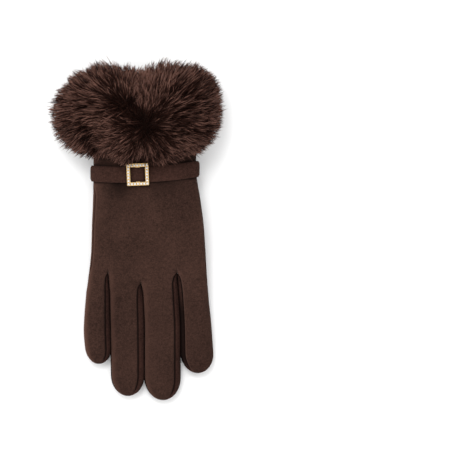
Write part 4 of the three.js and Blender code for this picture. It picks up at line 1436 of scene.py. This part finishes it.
        # painted spots: shade in the creases and valleys, light where the tips catch the light
        for x, y, reach, change in self.painted_shade_and_light_spots:
            near = np.exp(-((tips[:, 0] - x) ** 2 + (tips[:, 1] - y) ** 2) / reach**2)
            lock = lock * (1 + change * near)
        strand = rng.normal(1, 0.6, (locks, each))
        scale = puff.light * np.clip(lock, 0.05, 2)[:, None] * np.clip(strand, 0.2, 2.5)
        # painted light on the puffs' rims
        rim = 1 - np.abs(normals[:, 2])
        rise = t ** (1.7 - 0.6 * rim)[:, None, None]
        return np.clip((0.01 + 0.66 * rise) * (scale * (1 + 0.25 * rim)[:, None])[..., None], 0, 1)

    def tubes(self, name: str, paths: Array, light: Array, rng: np.random.Generator) -> Piece:
        """Three-sided tubes along paths, closed at the root and drawn to a point.

        Args:
            name: The piece's name.
            paths: Points of each strand.
            light: Lightness of each of them.
            rng: The random numbers.

        Returns:
            The tubes, with their lightness as the attribute shade.
        """
        count, points = paths.shape[:2]
        tangent = unit(np.gradient(paths, axis=1))
        pick = unit(rng.normal(0, 1, (count, 1, 3)))
        side = unit(np.cross(tangent, pick))
        other = np.cross(tangent, side)
        rings = points - 1
        radius = np.array(self.radii)
        turns = np.arange(3) * 2 * math.pi / 3
        cosine, sine = np.cos(turns)[:, None], np.sin(turns)[:, None]
        circle = side[:, :rings, None] * cosine + other[:, :rings, None] * sine
        tube = paths[:, :rings, None] + circle * radius[None, :, None, None]
        vertices = np.concatenate([tube.reshape(count, -1, 3), paths[:, -1:]], axis=1)
        shade = np.concatenate([np.repeat(light[:, :rings], 3, axis=1), light[:, -1:]], axis=1)
        faces = [(0, 2, 1)]
        for ring in range(rings - 1):
            for i in range(3):
                a, b = ring * 3 + i, ring * 3 + (i + 1) % 3
                faces += [(a, b, b + 3), (a, b + 3, a + 3)]
        last = (rings - 1) * 3
        faces += [(last + i, last + (i + 1) % 3, last + 3) for i in range(3)]
        each = vertices.shape[1]
        all_faces = (np.array(faces)[None] + np.arange(count)[:, None, None] * each).reshape(-1, 3)
        piece = self.shop.mesh(name, vertices.reshape(-1, 3), all_faces)
        self.shop.paint(piece, "shade", shade)
        return piece

    def build(self) -> None:
        """Makes the undercoat, which stands for the cuff's solid, and the puffs' strands."""
        self.shop.finish(self.undercoat(), UNDERCOAT, ("fur_cuff",))
        for number, puff in enumerate(self.puffs):
            self.shop.finish(self.strands(number, puff), PELT)


@dataclass
class Buckle:
    """The square buckle: the frame's own metal and stones get their finishes."""

    nodes: dict[str, Piece]

    def build(self) -> None:
        """Dresses the frame and each stone."""
        for name, node in self.nodes.items():
            finish = GOLD if name == "buckle_frame" else CRYSTAL if name.startswith("stone_") else None
            if finish:
                node.data.materials.clear()
                node.data.materials.append(finish.material())
                log.info("%s: %s", name, finish.name)


# Studio


@dataclass
class Studio:
    """Pale floor, soft light and the camera over the glove."""

    shop: Workshop
    view_mm: float = 333.0
    camera_height: float = 5.0
    centre: tuple[float, float] = (59.34, -37.74)
    floor_size: float = 6.0

    def build(self) -> None:
        """Makes the floor, the lights and the camera."""
        self.floor()
        self.lights()
        self.camera()

    def floor(self) -> None:
        """A wide white floor under the glove."""
        half = self.floor_size / 2
        mesh = bpy.data.meshes.new("floor")
        corners = [(-half, -half, 0), (half, -half, 0), (half, half, 0), (-half, half, 0)]
        mesh.from_pydata(corners, [], [(0, 1, 2, 3)])
        floor = bpy.data.objects.new("floor", mesh)
        bpy.context.scene.collection.objects.link(floor)
        paper = bpy.data.materials.new("white_floor")
        paper.use_nodes = True
        shader = paper.node_tree.nodes["Principled BSDF"]
        shader.inputs["Base Color"].default_value = (0.9, 0.9, 0.9, 1)
        shader.inputs["Roughness"].default_value = 0.9
        shader.inputs["Specular IOR Level"].default_value = 0.0
        mesh.materials.append(paper)

    def lights(self) -> None:
        """An even white sky, a soft light from beyond the cuff and another from the little finger's side."""
        world = bpy.data.worlds.new("studio")
        bpy.context.scene.world = world
        world.use_nodes = True
        sky = world.node_tree.nodes["Background"]
        sky.inputs["Color"].default_value = (1, 1, 1, 1)
        sky.inputs["Strength"].default_value = 1.25
        self.area("key", (-0.25, 0.75, 1.6), 0.6, 11.0)
        self.area("side", (-1.5, 0.25, 0.75), 0.6, 4.5)

    def area(self, name: str, place: tuple[float, float, float], size: float, power: float) -> None:
        """A square soft light that points at the glove."""
        data = bpy.data.lights.new(name, "AREA")
        data.size = size
        data.energy = power
        light = bpy.data.objects.new(name, data)
        light.location = place
        away = np.array(place)
        x_turn = math.atan2(math.hypot(away[0], away[1]), away[2])
        z_turn = math.atan2(away[0], -away[1])
        light.rotation_euler = (x_turn, 0, z_turn)
        bpy.context.scene.collection.objects.link(light)

    def camera(self) -> None:
        """A long lens straight above, framed as the photograph is."""
        data = bpy.data.cameras.new("camera")
        data.sensor_width = 36
        data.lens = 18 / (self.view_mm * MM / 2 / self.camera_height)
        camera = bpy.data.objects.new("camera", data)
        x, y = (np.array(self.centre) + self.shop.shift[:2]) * MM
        camera.location = (x, y, self.camera_height)
        bpy.context.scene.collection.objects.link(camera)
        bpy.context.scene.camera = camera
        bpy.context.scene.view_settings.view_transform = "Standard"


def place_in_frame(strap: Strap) -> Array:
    """Shift from the strap's middle to the frame's origin, in millimetres, from where the buckle is."""
    low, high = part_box("buckle_frame")
    centre = (np.array(low) + np.array(high)) / 2 / MM
    x = strap.buckle_x
    return np.array([centre[0] - x, centre[1] - float(strap.middle(np.array(x))), 0])


def main() -> None:
    """Builds the glove's pieces in order, then the studio."""
    logging.basicConfig(level=logging.INFO, format="%(name)s: %(message)s")
    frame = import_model()
    hand = HandShape()
    shop = Workshop(np.zeros(3))
    strap = Strap(hand, shop)
    shop.shift = place_in_frame(strap)
    Cloth(hand, shop, strap).build()
    Thumb(hand, shop).build()
    strap.build()
    Buckle(frame["nodes"]).build()
    FurCuff(hand, shop).build()
    Studio(shop).build()


if __name__ == "__main__":
    main()
